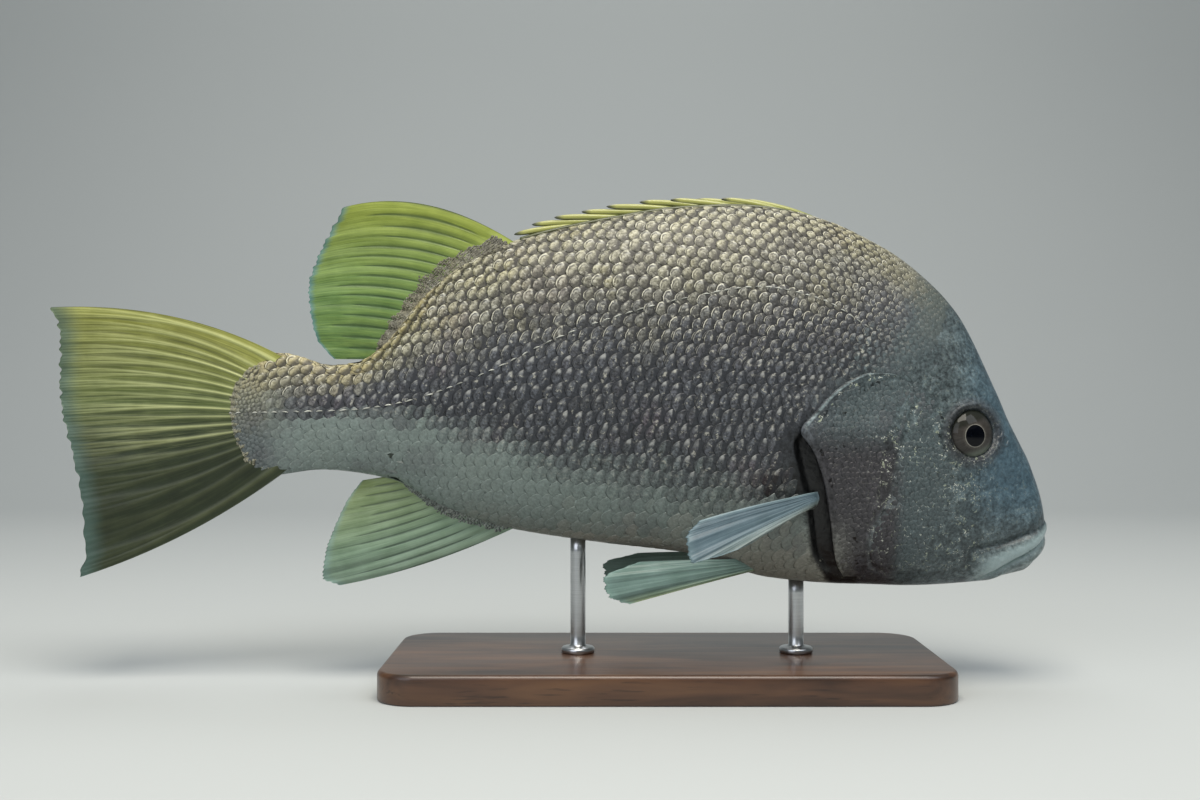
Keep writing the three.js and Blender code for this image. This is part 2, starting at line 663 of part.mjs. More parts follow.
// Stand: a flat wooden base with softened edges, and two short steel rods up to the belly.
function standBase() {
  const corner = 16;
  const bevel = 2;
  const halfLength = BASE_LENGTH / 2 - bevel;
  const halfBreadth = BASE_WIDTH / 2 - bevel;
  const shape = new THREE.Shape();
  shape.absarc(halfLength - corner, halfBreadth - corner, corner, 0, Math.PI / 2);
  shape.absarc(corner - halfLength, halfBreadth - corner, corner, Math.PI / 2, Math.PI);
  shape.absarc(corner - halfLength, corner - halfBreadth, corner, Math.PI, 1.5 * Math.PI);
  shape.absarc(halfLength - corner, corner - halfBreadth, corner, 1.5 * Math.PI, 2 * Math.PI);
  const geometry = new THREE.ExtrudeGeometry(shape, {
    depth: BASE_THICKNESS - 2 * bevel,
    bevelThickness: bevel,
    bevelSize: bevel,
    bevelSegments: 2,
    curveSegments: 5,
  });
  geometry.translate(BASE_MIDDLE_X, 0, bevel);
  return toSolid(geometry);
}

function standRod(x) {
  const height = 60;
  const rod = new THREE.CylinderGeometry(ROD_RADIUS, ROD_RADIUS, height, 20);
  rod.rotateX(Math.PI / 2);
  rod.translate(x, 0, BASE_THICKNESS + GAP + height / 2);
  return toSolid(rod).subtract(bodyWithGap);
}

/** A named mesh with its finish. */
function meshOf(name, solid, finish) {
  const { vertProperties, triVerts } = largest(solid).getMesh();
  const geometry = new THREE.BufferGeometry();
  geometry.setAttribute("position", new THREE.BufferAttribute(new Float32Array(vertProperties), 3));
  geometry.setIndex(new THREE.BufferAttribute(new Uint32Array(triVerts), 1));
  const flat = geometry.toNonIndexed();
  flat.computeVertexNormals();
  const mesh = new THREE.Mesh(flat, new THREE.MeshStandardMaterial(finish));
  mesh.name = name;
  return mesh;
}

const fish = new THREE.Group();
fish.add(
  meshOf("head", head, DARK_SKIN),
  meshOf("upper_lip", upperLip, LIP_SKIN),
  meshOf("lower_jaw", lowerJaw, LIP_SKIN),
  meshOf("gill_membrane", gillMembrane, GILL_SKIN),
  meshOf("trunk", trunk, BODY_SKIN),
  meshOf("tail_stem", tailStem, BODY_SKIN),
  meshOf("dorsal_fin_spiny", spinyDorsalFin.subtract(bodyWithGap).subtract(softDorsalRoom), SPINE_FIN),
  meshOf("dorsal_fin_soft", softDorsalFin.subtract(bodyWithGap), YELLOW_FIN),
  meshOf("tail_fin", caudalFin.subtract(bodyWithGap), YELLOW_FIN),
  meshOf("anal_fin", analFin.subtract(bodyWithGap), PALE_FIN),
);
for (const [name, side] of [["left", 1], ["right", -1]]) {
  fish.add(
    meshOf(`gill_cover_${name}`, gillCover(side), DARK_SKIN),
    meshOf(`eye_${name}`, eye(side), EYE_GLASS),
    meshOf(`pectoral_fin_${name}`, pairedFin(side, PECTORAL).subtract(bodyWithGap), PALE_FIN),
    meshOf(`pelvic_fin_${name}`, pairedFin(side, PELVIC).subtract(bodyWithGap), PALE_FIN),
  );
}

const stand = new THREE.Group();
stand.add(
  meshOf("stand_base", standBase(), STAND_WOOD),
  meshOf("stand_rod_front", standRod(ROD_FRONT_X), STAND_STEEL),
  meshOf("stand_rod_rear", standRod(ROD_REAR_X), STAND_STEEL),
);

const model = new THREE.Group();
model.add(fish, stand);
model.position.x = -MODEL_MIDDLE_X;

export default model;
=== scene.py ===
# A life-size museum model of a velvetchin: a deep-bodied sea fish with thick lips, close scales, yellow
# soft fins and folded dorsal spines, held level on a small wooden stand by two steel rods.
import functools
import math

import bpy
import numpy as np
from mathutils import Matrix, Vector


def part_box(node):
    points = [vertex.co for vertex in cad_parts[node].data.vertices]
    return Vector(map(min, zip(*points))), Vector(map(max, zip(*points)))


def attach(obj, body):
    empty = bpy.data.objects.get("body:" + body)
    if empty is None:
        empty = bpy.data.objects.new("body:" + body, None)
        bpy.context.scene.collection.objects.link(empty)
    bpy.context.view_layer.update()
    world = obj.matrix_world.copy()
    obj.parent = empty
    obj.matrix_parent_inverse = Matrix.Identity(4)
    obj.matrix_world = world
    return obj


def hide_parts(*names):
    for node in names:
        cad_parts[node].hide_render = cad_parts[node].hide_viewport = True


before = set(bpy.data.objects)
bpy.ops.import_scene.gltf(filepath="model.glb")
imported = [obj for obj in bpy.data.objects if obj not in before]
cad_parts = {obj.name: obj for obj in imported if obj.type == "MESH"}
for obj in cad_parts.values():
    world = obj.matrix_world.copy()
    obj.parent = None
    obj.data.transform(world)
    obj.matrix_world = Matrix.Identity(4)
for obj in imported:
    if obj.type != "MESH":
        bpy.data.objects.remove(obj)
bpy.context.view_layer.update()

# Shapes are worked out in the fish's own millimetres, +X to the snout and +Z up, and moved into the frame
# by the place of the stand's base.
MM = 0.001
BASE_MIDDLE_X = 48
base_low, base_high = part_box("stand_base")
SHIFT_X = (base_low[0] + base_high[0]) / 2 / MM - BASE_MIDDLE_X
draw = np.random.default_rng(46)
SIDES = ((1, "left"), (-1, "right"))


# Numbers and curves

def smooth(share):
    """The smooth step 3s² - 2s³ of a share that is held between 0 and 1."""
    share = np.clip(share, 0, 1)
    return share * share * (3 - 2 * share)


def curve(points):
    """A line through a few rising (place, value) points that never overshoots: cubic pieces whose slope at
    each point is the harmonic mean of the slopes before and after it."""
    place, value = np.array(points, float).T
    width = np.diff(place)
    slope = np.diff(value) / width
    before, after = slope[:-1], slope[1:]
    bends = before * after <= 0
    middle = np.where(bends, 0, 2 * before * after / np.where(bends, 1, before + after))
    tangent = np.concatenate([slope[:1], middle, slope[-1:]])

    def value_at(x):
        x = np.clip(x, place[0], place[-1])
        i = np.clip(np.searchsorted(place, x, side="right") - 1, 0, len(width) - 1)
        t = (x - place[i]) / width[i]
        start = (2 * t**3 - 3 * t**2 + 1) * value[i] + (t**3 - 2 * t**2 + t) * width[i] * tangent[i]
        return start + (3 * t**2 - 2 * t**3) * value[i + 1] + (t**3 - t**2) * width[i] * tangent[i + 1]

    return value_at


def space_line(places):
    """A line in space through a few (share, x, y, z) places, as one curve for each axis."""
    axes = [curve([(place[0], place[axis]) for place in places]) for axis in (1, 2, 3)]
    return lambda share: np.stack([axis(share) for axis in axes], axis=-1)


def middle_line(places):
    """A line in the fish's middle plane through a few (share, x, z) places."""
    return space_line([(share, x, 0, z) for share, x, z in places])


def spline(places, count):
    """A smooth line of count points through a few [x, z] places, evenly spaced in the places' numbering:
    Catmull-Rom pieces."""
    p = np.array(places, float)
    p = np.vstack([2 * p[0] - p[1], p, 2 * p[-1] - p[-2]])
    at = np.linspace(0, len(places) - 1, count)
    i = np.minimum(at.astype(int), len(places) - 2)
    t = (at - i)[:, None]
    a, b, c, d = p[i], p[i + 1], p[i + 2], p[i + 3]
    return 0.5 * (2 * b + (c - a) * t + (2 * a - 5 * b + 4 * c - d) * t**2 + (3 * b - a - 3 * c + d) * t**3)


def unit(vectors):
    """Vectors at length one."""
    return vectors / np.maximum(np.linalg.norm(vectors, axis=-1, keepdims=True), 1e-9)


def to_points(x, y, z):
    """Points from coordinates whose shapes fit together."""
    return np.stack(np.broadcast_arrays(x, y, z), axis=-1)


def circle(count):
    """Equal turns round a circle."""
    return np.linspace(0, 2 * math.pi, count, endpoint=False)


# The body's form, as in the solids

SNOUT_X = 208
SNOUT_Z = 64
SNOUT_ROUNDING = 10
TAIL_END_X = -135.5
TAIL_END_Z = 112
TAIL_ROUNDING = 15

back_line = curve([
    (-136, 138), (-112, 138.5), (-92, 133.6), (-82, 134.5), (-71, 141), (-52, 163.5), (-35, 176.5),
    (-12, 187), (22, 195), (56, 200.2), (78, 201), (98, 199.3), (118, 194), (141, 182.6), (156, 171.5),
    (171, 155.6), (187, 123.5), (198, 98), (209, 84),
])
belly_line = curve([
    (-136, 86), (-118, 86.2), (-96, 88.6), (-68, 85), (-46, 73.5), (-22, 65), (20, 58.2), (58, 53.6),
    (92, 43.6), (122, 41), (150, 40.6), (184, 42.6), (198, 45.5), (209, 48),
])
half_width = curve([
    (-136, 2.4), (-118, 4), (-95, 7), (-60, 12.5), (-20, 19.5), (20, 25.5), (60, 29.8), (100, 31.8),
    (130, 30.6), (155, 26.6), (175, 21.8), (192, 17.4), (209, 14),
])
widest_level = curve([(-136, 0.5), (-60, 0.48), (60, 0.44), (130, 0.4), (175, 0.42), (209, 0.45)])
back_keel = curve([(-136, 1), (-70, 1.1), (20, 1.25), (110, 1.25), (170, 1.05), (209, 0.9)])
belly_keel = curve([(-136, 1), (-60, 1.05), (20, 0.95), (110, 0.75), (170, 0.8), (209, 0.85)])
lateral_line = curve([
    (-140, 112.8), (-128.8, 112.9), (-105, 113.4), (-82, 114.2), (-60.3, 117.4), (-27.6, 128.6), (5, 144.1),
    (21.3, 150.2), (54, 159.2), (86.6, 164.3), (111.1, 159.2), (131.5, 147), (150, 138), (175, 128),
    (209, 118),
])


def section(x):
    """Top, bottom, widest level and half width of the body at x: the four curves, drawn in to a point at
    both ends by a quarter of a circle."""
    nose = np.clip((x - SNOUT_X + SNOUT_ROUNDING) / SNOUT_ROUNDING, 0, 1)
    tail = np.clip((TAIL_END_X + TAIL_ROUNDING - x) / TAIL_ROUNDING, 0, 1)
    rounding = np.sqrt(1 - nose**2) * np.sqrt(1 - tail**2)
    middle = np.where(x > 0, SNOUT_Z, TAIL_END_Z)
    top = middle + (back_line(x) - middle) * rounding
    bottom = middle + (belly_line(x) - middle) * rounding
    width = half_width(x) * np.where(x > 0, rounding, np.sqrt(rounding))
    return top, bottom, bottom + (top - bottom) * widest_level(x), np.maximum(width, 0.2)


def body_point(x, turn, side):
    """The body's surface at x and at a turn from 0 on the back to pi on the belly, on the left (side 1) or
    the right (side -1): half an ellipse above and one below the widest level, with their y raised to the
    power of the keel."""
    top, bottom, level, width = section(x)
    up = np.cos(turn)
    z = level + np.where(up > 0, top - level, level - bottom) * up
    keel = np.where(up > 0, back_keel(x), belly_keel(x))
    y = side * width * np.maximum(np.sin(turn), 0) ** keel
    return to_points(x, y, z)


def turn_at(x, z):
    """The turn at which the body at x reaches the height z."""
    top, bottom, level, _ = section(x)
    reach = np.maximum(np.where(z > level, top - level, level - bottom), 1e-9)
    return np.arccos(np.clip((z - level) / reach, -1, 1))


# Shares of the half girth, from 0 on the back to 1 on the belly, tabled against x and the turn.
TABLE_X = np.linspace(TAIL_END_X + 0.2, SNOUT_X - 0.2, 520)
TABLE_TURN = np.linspace(0, math.pi, 721)
table_points = body_point(TABLE_X[:, None], TABLE_TURN[None, :], 1)
table_steps = np.linalg.norm(np.diff(table_points, axis=1), axis=2)
table_girth = np.concatenate([np.zeros((len(TABLE_X), 1)), np.cumsum(table_steps, axis=1)], axis=1)
half_girth_table = table_girth[:, -1]
SHARES = np.linspace(0, 1, 401)
turn_table = np.array([np.interp(SHARES, girth / girth[-1], TABLE_TURN) for girth in table_girth])
axis_line = curve([(-136, 112), (-60, 113), (40, 117), (140, 117), (209, 100)])
axis_share_table = np.array([
    np.interp(turn_at(x, axis_line(x)), TABLE_TURN, girth / girth[-1])
    for x, girth in zip(TABLE_X, table_girth)
])


def half_girth(x):
    """The way over the surface from the back to the belly at x, in mm."""
    return np.interp(x, TABLE_X, half_girth_table)


def turn_of_share(x, share):
    """The turn at a share of the half girth at x: the table, read between its four nearest entries."""
    row = np.clip((x - TABLE_X[0]) / (TABLE_X[1] - TABLE_X[0]), 0, len(TABLE_X) - 1.001)
    column = np.clip(share, 0, 1) * (len(SHARES) - 1.001)
    i, j = row.astype(int), column.astype(int)
    s, t = row - i, column - j
    near = turn_table[i, j] * (1 - t) + turn_table[i, j + 1] * t
    far = turn_table[i + 1, j] * (1 - t) + turn_table[i + 1, j + 1] * t
    return near * (1 - s) + far * s


def share_above(x, above):
    """The share of the half girth at a way in mm above the body's axis line, measured over the surface."""
    return np.interp(x, TABLE_X, axis_share_table) - above / half_girth(x)


# The head's relief

EYE_X, EYE_Z = 173.5, 105
EYE_RADIUS = 10.4
EYE_DEPTH = 6.4
EYE_SUNK = 3.4
ORBIT_RADIUS = 11.6
CHEEK_SWELL = 1.7
GILL_RECESS = 2.4
SCALE_BED = 0.45
HEAD_REAR_X = 92         # behind it the skin has no relief but the scales' bed
COVER_FRONT = [
    (152, 125), (151, 120), (150, 115), (149, 111), (147, 105), (145, 99), (143, 93.5), (140.5, 83),
    (136, 71), (132, 58), (134, 45.5),
]
COVER_REAR = [
    (143, 128), (136, 129), (127, 128.3), (116.5, 122.3), (107.5, 113), (102.2, 105.8), (107, 98),
    (111.3, 86), (114.3, 70), (117, 55), (121.5, 45.5),
]
GILL_REAR = [
    (128, 124), (114, 113), (104, 107), (99.6, 101), (101.7, 90), (104.9, 78), (106.8, 66), (108.6, 56),
    (113, 49), (118, 42),
]
CHEEK_GROOVE = [
    (148, 116), (146.7, 112), (142.5, 101), (139.8, 93), (136.6, 78.1), (131.5, 69), (129, 62), (129.6, 56),
    (132.5, 51), (137.5, 48.3), (146, 47), (156, 48),
]
gill_rear_x = curve([(z, x) for x, z in reversed(GILL_REAR)])
mouth_line = curve([
    (165, 41), (176, 43.4), (182.4, 46), (190.8, 51.3), (197.9, 55.3), (205.4, 61.2), (209, 64.6),
])
lip_top = curve([
    (165, 55), (178, 57.4), (186.8, 59.2), (194.7, 61.8), (201.9, 65.2), (206, 67.4), (209, 69.2),
])
lower_lip_depth = curve([(176, 2), (184, 4.4), (192, 5.4), (198, 6.4), (209, 8)])
COVER_STEPS = np.arange(121) / 120
cover_front_line = spline(COVER_FRONT, len(COVER_STEPS))
cover_rear_line = spline(COVER_REAR, len(COVER_STEPS))
COVER_REAR_TOP = 12      # the step of the rear line from which it only goes down
groove_line = spline(CHEEK_GROOVE, 90)


def bump(distance, reach):
    """A round hump, 1 at no distance and 0 from the reach on: (1 - (d/r)²)²."""
    return np.clip(1 - (distance / reach) ** 2, 0, 1) ** 2


def around_eye(x, z):
    """The distance from the eye's middle in side view."""
    return np.hypot(x - EYE_X, z - EYE_Z)


def distance_to_line(x, z, line):
    """The least distance in side view from each place to the corners of a fine line."""
    flat = np.stack([np.ravel(x), np.ravel(z)], axis=-1)
    gaps = np.linalg.norm(flat[:, None, :] - line[None, :, :], axis=-1)
    return gaps.min(axis=1).reshape(np.shape(x))


def cover_ends(down):
    """The places of the gill cover's front and rear lines at a share of the way down."""
    return [
        [np.interp(down, COVER_STEPS, line[:, axis]) for axis in (0, 1)]
        for line in (cover_front_line, cover_rear_line)
    ]


def cover_place(x, z):
    """Where a place in side view lies on the gill cover, which is ruled between its front and rear lines:
    how far across, 0 to 1, and how far down. Found in a few steps by which the height is put right."""
    down = np.interp(-z, -cover_rear_line[COVER_REAR_TOP:, 1], COVER_STEPS[COVER_REAR_TOP:])
    for _ in range(9):
        (front_x, front_z), (rear_x, rear_z) = cover_ends(down)
        across = (front_x - x) / np.maximum(front_x - rear_x, 1)
        held = np.clip(across, 0, 1)
        down = np.clip(down + (front_z * (1 - held) + rear_z * held - z) / 90, 0, 1)
    return across, down


def cheek_height(x, z):
    """The cheek's swelling, which fades to the snout, the eye and the throat."""
    return CHEEK_SWELL * smooth((164 - x) / 28) * smooth((124 - z) / 22) * smooth((z - 40) / 12)


def cover_height(across, down, x, z):
    """The gill cover's height over the plain body: it comes up out of the cheek with no step, lies a
    little hollow behind it, has a low ridge that runs to the point, and ends in a thin rolled lip."""
    edge = smooth((across - 0.72) / 0.28)
    rise = cheek_height(x, z) * (1 - 0.4 * smooth(across)) - 1.3 * (1 - smooth(across / 0.2))
    ridge = 0.55 * bump((down - 0.50 + 0.10 * (1 - across)) * 9, 1.0) * smooth(across / 0.5)
    hollow = -0.35 * bump(across - 0.5, 0.3) * smooth((down - 0.5) / 0.15)
    lip = 0.25 * bump(across - 0.975, 0.05)
    low_end = smooth((z - 44) / 9)
    edge_lift = 0.75 * edge * smooth(down / 0.06) * low_end
    upper_end = -0.5 * smooth((0.07 - down) / 0.07)
    return rise + ridge + hollow + lip * low_end + edge_lift + upper_end - 0.8 * (1 - low_end)


def lips(x, z):
    """The height of the lips: a full hump over the mouth's line and a lower one under it, a slit between
    them, a crease over the upper lip, and the round end of the upper jaw behind the corner."""
    upper_full = smooth((x - 170) / 10)
    lower_full = smooth((x - 181) / 6)
    share = (z - mouth_line(x)) / (lip_top(x) - mouth_line(x))
    below = (mouth_line(x) - z) / lower_lip_depth(x)
    front = 1 - 0.45 * smooth((x - 199) / 7)
    hump = 2.3 * np.clip(1 - (2 * share - 0.92) ** 2, 0, 1) ** 0.8
    upper = (hump - 0.7 * smooth(1.3 - share)) * upper_full * front
    lower = 1.7 * np.clip(1 - (2 * below - 1.05) ** 2, 0, 1) ** 0.8 * lower_full
    upper = np.where(share > 0, upper, 0)
    lower = np.where(below > 0, lower - 1.0 * lower_full, 0)
    slit = -1.9 * bump(z - mouth_line(x), 1.0) * smooth((x - 176) / 5) * front
    crease = -1.0 * bump(z - lip_top(x) - 0.5, 1.7) * upper_full * (1 - smooth((x - 197) / 7))
    jaw_end = np.hypot(x - 180.5, (z - 51.5) * 0.9)
    jaw_groove = -0.7 * bump(jaw_end - 8, 1.3) * smooth((178.5 - x) / 4)
    return upper + lower + slit + crease + jaw_groove


def relief(x, z):
    """The height of the skin over the body's plain form, in mm: lips, cheek, the groove round the cheek's
    rear edge, the bed that the gill cover closes over, the ring round the eye and the socket, the nostrils'
    cushion, and the shallow bed under the scales."""
    x, z = np.broadcast_arrays(x, z)
    height = np.array(-SCALE_BED * smooth((150 - x) / 20))
    head = x > HEAD_REAR_X
    x, z = x[head], z[head]
    groove = distance_to_line(x, z, groove_line)
    part = -0.9 * bump(groove, 1.5) * (0.3 + 0.7 * smooth((104 - z) / 16)) * smooth((158 - x) / 8)
    across, down = cover_place(x, z)
    under = smooth((across - 0.30) / 0.12) * smooth((down - 0.02) / 0.05)
    bed = under * smooth((x - gill_rear_x(z) + 1.6) / 3.6) * smooth((126 - z) / 5) * smooth((z - 42) / 7)
    part = part + cheek_height(x, z) * smooth((x - gill_rear_x(z)) / 2) * (1 - bed) - GILL_RECESS * bed
    rho = around_eye(x, z)
    part = part + 0.7 * bump(rho - ORBIT_RADIUS, 3.2) - 6 * smooth((EYE_RADIUS + 0.4 - rho) / 1.2)
    part = part - 0.5 * bump(np.hypot(x - 186, z - 86), 15)
    part = part + 0.9 * bump(np.hypot(x - 193, (z - 96) * 0.7), 12)
    height[head] += part + lips(x, z)
    return height


def cover_relief(x, z):
    """The gill cover's height by a place in side view, carried on past its edge."""
    across, down = cover_place(x, z)
    return cover_height(np.clip(across, 0, 0.985), down, x, z)


def skin(x, turn, side, lift=0.0, height_of=relief):
    """A point of the skin and the outward normal there: the body's surface, moved out along its normal by
    the relief and by a lift in mm. The normal is the cross product of two short steps on the surface."""
    x, turn = np.broadcast_arrays(np.asarray(x, float), np.asarray(turn, float))
    x = np.clip(x, TAIL_END_X + 0.05, SNOUT_X - 0.05)
    here = body_point(x, turn, side)
    inner = np.clip(turn, 0.03, math.pi - 0.03)
    along = body_point(x + 0.04, turn, side) - body_point(x - 0.04, turn, side)
    around = body_point(x, inner + 0.01, side) - body_point(x, inner - 0.01, side)
    normal = unit(np.cross(around, along) * -np.asarray(side, float)[..., None])
    return here + normal * (height_of(x, here[..., 2]) + lift)[..., None], normal


def skin_beside(x, z, side, lift=0.0, height_of=relief):
    """A point of the skin and its normal by its place in side view."""
    return skin(x, turn_at(x, z), side, lift, height_of)


# The fish's markings and painted shade and highlights, shared by skin, scales and gill covers

dark_low = curve([
    (-136, 110), (-100, 112), (-71, 114), (-38, 107), (4, 94), (40, 88), (60, 84), (105, 80), (125, 76),
])
dark_high = curve([
    (-136, 124), (-100, 121), (-71, 129), (-38, 146), (4, 163), (60, 166), (105, 172), (125, 176),
    (150, 170),
])
head_start = curve([(40, 110), (100, 108), (128, 120), (145, 134), (160, 148), (175, 156), (200, 150)])


def zones(x, z):
    """How far each of the nine colours covers the pale ground at a place in side view, from 0 to 1, as
    three sets of three: dark flank, cream back, gold edge; slate head, blue snout, brown gill cover;
    warm belly, black gill skin, pale lip. The black gill skin is partly painted shade in the gill opening,
    and the black also paints shade just behind that opening, behind the gill cover above the pectoral fin,
    just above that fin's root and in the socket round the eye. The pale lip's colour also paints a
    highlight along the gill cover's rear upper edge, and a pale stripe before the cheek's groove. Each is
    a soft step over one of the fish's own lines. The flecks are how densely painted glints lie on the skin."""
    low_softness = np.interp(x, [-110, -60, 40], [4, 10, 36])
    high_softness = np.interp(x, [-110, -60, 40], [9, 20, 44])
    stem_end = smooth((-105 - x) / 18)
    dark = smooth((z - dark_low(x)) / low_softness + 0.5) * (1 - 0.45 * smooth((-90 - x) / 22))
    dark = dark * (1 - stem_end) + (0.62 - 0.25 * smooth((z - 104) / 20)) * stem_end
    cream = smooth((z - dark_high(x)) / high_softness + 0.5)
    gold = smooth((z - back_line(x) + 13) / 9) * smooth((-34 - x) / 22)
    gold = np.maximum(gold, 0.35 * stem_end * smooth((z - 100) / 24))
    slate = smooth((x - head_start(z)) / 26 + 0.5)
    blue = smooth((x - 162) / 26) * smooth((z - 58) / 26)
    before_rear = smooth((x - gill_rear_x(z)) / 2)
    brown = smooth((146 - x) / 8) * smooth((112 - z) / 18) * before_rear
    warm = smooth((76 - z) / 26) * smooth((128 - x) / 12) * (1 - 0.45 * before_rear)
    across, down = cover_place(x, z)
    # Black gill skin, partly painted shade in the gill opening, carried a little past its rear edge as
    # painted shade.
    black_and_shade = smooth((x - gill_rear_x(z) + 3.2) / 3) * smooth((across - 0.4) / 0.2) * smooth((122 - z) / 5)
    # Painted shade just above the pectoral fin's root, and behind the gill cover above that fin.
    shade = 1.6 * bump(np.hypot((x - 97) * 0.5, z - 84.5), 9.5)
    behind = 0.85 * smooth((x - 84) / 16) * smooth((107 - np.abs(z - 92) * 1.2 - 86) / 20) * (x < 112)
    share = (z - mouth_line(x)) / (lip_top(x) - mouth_line(x))
    below = (mouth_line(x) - z) / lower_lip_depth(x)
    lip = smooth((0.92 - share) / 0.5) * smooth((1.25 - below) / 0.2) * smooth((x - 172) / 12)
    lip = lip * (1 - 0.7 * smooth(below / 0.5))
    # A pale stripe before the cheek's groove, and a painted highlight along the gill cover's rear upper
    # edge, both in the pale lip's colour.
    flange = 0.16 * bump(distance_to_line(x - 2.6, z, groove_line[:52]), 3.6) * before_rear
    edge = 0.62 * bump(across - 0.99, 0.024) * smooth((0.49 - down) / 0.06) * smooth(down / 0.03)
    edge = edge * (0.8 + 0.25 * np.sin(z * 1.7) + 0.2 * np.sin(z * 3.9 + 1))
    lip = np.maximum(lip, np.maximum(flange, edge))
    brown = np.maximum(brown, 0.7 * bump(around_eye(x, z) - 11, 5))
    black_and_shade = np.maximum(black_and_shade, np.minimum(np.maximum(shade, behind), 1) * smooth((112 - x) / 3))
    # Painted shade in the socket round the eye.
    black_and_shade = np.maximum(black_and_shade, 0.5 * bump(around_eye(x, z) - 10.2, 2.2))
    sets = [(dark, cream, gold), (slate, blue, brown), (warm, black_and_shade, lip)]
    filled = [np.stack(np.broadcast_arrays(*three, np.ones_like(x + z)), axis=-1) for three in sets]
    # Painted glints: over the cheek, along its groove, densest at the gill cover's edge, and faint over the
    # whole head.
    cheek = smooth((x - 126) / 10) * smooth((184 - x) / 12) * smooth((116 - z) / 8) * smooth((z - 46) / 8)
    groove = bump(distance_to_line(x - 1.6, z, groove_line[:44]), 4.2)
    edge_glints = 1.8 * bump(across - 0.92, 0.1) * smooth((0.5 - down) / 0.1) * smooth(down / 0.05)
    flecks = np.maximum(0.6 * cheek, np.maximum(1.3 * groove, edge_glints)) + 0.12 * smooth((x - 110) / 15)
    return dict(zip(("zones_a", "zones_b", "zones_c", "flecks"), (*filled, flecks)))


def markings_and_painted_light(corners):
    """The shares of the markings and of the painted shade and highlights at corners, by their place in side
    view.
    """
    return zones(corners[:, 0], corners[:, 2])


# Meshes

def grid_faces(rows, columns, closed=False):
    """Four-cornered faces between neighbours on a grid of rows by columns, closed round the columns or
    not."""
    last = columns if closed else columns - 1
    r, c = np.meshgrid(np.arange(rows - 1), np.arange(last), indexing="ij")
    near, far = r * columns + c, r * columns + (c + 1) % columns
    return np.stack([near, far, far + columns, near + columns], axis=-1).reshape(-1, 4)


def loft(rings):
    """Corners and faces of a closed body from an array of rings: four-cornered faces between the rings,
    and a fan of triangles from each end ring's middle."""
    count, size = rings.shape[:2]
    ends = np.stack([rings[0].mean(axis=0), rings[-1].mean(axis=0)])
    corners = np.concatenate([rings.reshape(-1, 3), ends])
    k = np.arange(size)
    onward = (k + 1) % size
    first = np.stack([np.full(size, count * size), onward, k], axis=-1)
    start = (count - 1) * size
    last = np.stack([np.full(size, count * size + 1), start + k, start + onward], axis=-1)
    return corners, [grid_faces(count, size, closed=True), first, last]


def volume(corners, faces):
    """Six times the volume that the faces enclose, negative where they point inwards."""
    total = 0
    for block in faces:
        for k in range(1, block.shape[1] - 1):
            a, b, c = corners[block[:, 0]], corners[block[:, k]], corners[block[:, k + 1]]
            total += np.einsum("ij,ij->i", a, np.cross(b, c)).sum()
    return total


def add_piece(name, corners, faces, material, fields=None, bake_uv=None):
    """A mesh object at the origin from corners in the fish's millimetres and blocks of faces of like
    size, turned out where they point inwards. Fields are values or colours at its corners."""
    if volume(corners - corners.mean(axis=0), faces) < 0:
        faces = [block[:, ::-1] for block in faces]
    mesh = bpy.data.meshes.new(name)
    placed = (corners + [SHIFT_X, 0, 0]) * MM
    loops = np.concatenate([block.ravel() for block in faces])
    sizes = np.concatenate([np.full(len(block), block.shape[1]) for block in faces])
    mesh.vertices.add(len(placed))
    mesh.vertices.foreach_set("co", placed.ravel())
    mesh.loops.add(len(loops))
    mesh.loops.foreach_set("vertex_index", loops)
    mesh.polygons.add(len(sizes))
    mesh.polygons.foreach_set("loop_start", np.cumsum(sizes) - sizes)
    mesh.update(calc_edges=True)
    mesh.shade_smooth()
    for field, values in (fields or {}).items():
        kind, entry = ("FLOAT", "value") if values.ndim == 1 else ("FLOAT_COLOR", "color")
        layer = mesh.attributes.new(field, kind, "POINT")
        layer.data.foreach_set(entry, np.ascontiguousarray(values, np.float32).ravel())
    if bake_uv is not None:
        layer = mesh.uv_layers.new(name="OFBake")
        layer.data.foreach_set("uv", np.ascontiguousarray(bake_uv[loops], np.float32).ravel())
    mesh.materials.append(material)
    made = bpy.data.objects.new(name, mesh)
    bpy.context.scene.collection.objects.link(made)
    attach(made, "root")
    return made


# Materials

def linear(colour):
    """An sRGB hex colour as linear red, green, blue and alpha."""
    parts = np.array([int(colour[i:i + 2], 16) for i in (1, 3, 5)]) / 255
    parts = np.where(parts <= 0.04045, parts / 12.92, ((parts + 0.055) / 1.055) ** 2.4)
    return (*parts, 1)


def feed(node, feeds):
    """Sets a node's sockets, by name or in their order, to numbers, vectors, hex colours or other nodes'
    outputs."""
    for socket, value in feeds.items() if isinstance(feeds, dict) else enumerate(feeds):
        if isinstance(value, bpy.types.NodeSocket):
            node.id_data.links.new(value, node.inputs[socket])
        else:
            node.inputs[socket].default_value = linear(value) if isinstance(value, str) else value


def add_node(tree, kind, feeds=(), output=0, stops=(), **settings):
    """Adds a node with its settings, gives its sockets their feeds, and returns one of its outputs. Stops
    are a colour ramp's places and hex colours."""
    node = tree.nodes.new("ShaderNode" + kind)
    for name, value in settings.items():
        setattr(node, name, value)
    while stops and len(node.color_ramp.elements) < len(stops):
        node.color_ramp.elements.new(0.5)
    for index, (place, colour) in enumerate(stops):
        element = node.color_ramp.elements[index]
        element.position, element.color = place, linear(colour)
    feed(node, feeds)
    return node.outputs[output]


def new_material(name):
    """An empty material, its shader, and add_node for its node tree."""
    material = bpy.data.materials.new(name)
    material.use_nodes = True
    tree = material.node_tree
    return material, tree.nodes["Principled BSDF"], functools.partial(add_node, tree)


def per_metre(size):
    """The Scale of a pattern whose forms are as large as this, in mm."""
    return 1000 / size


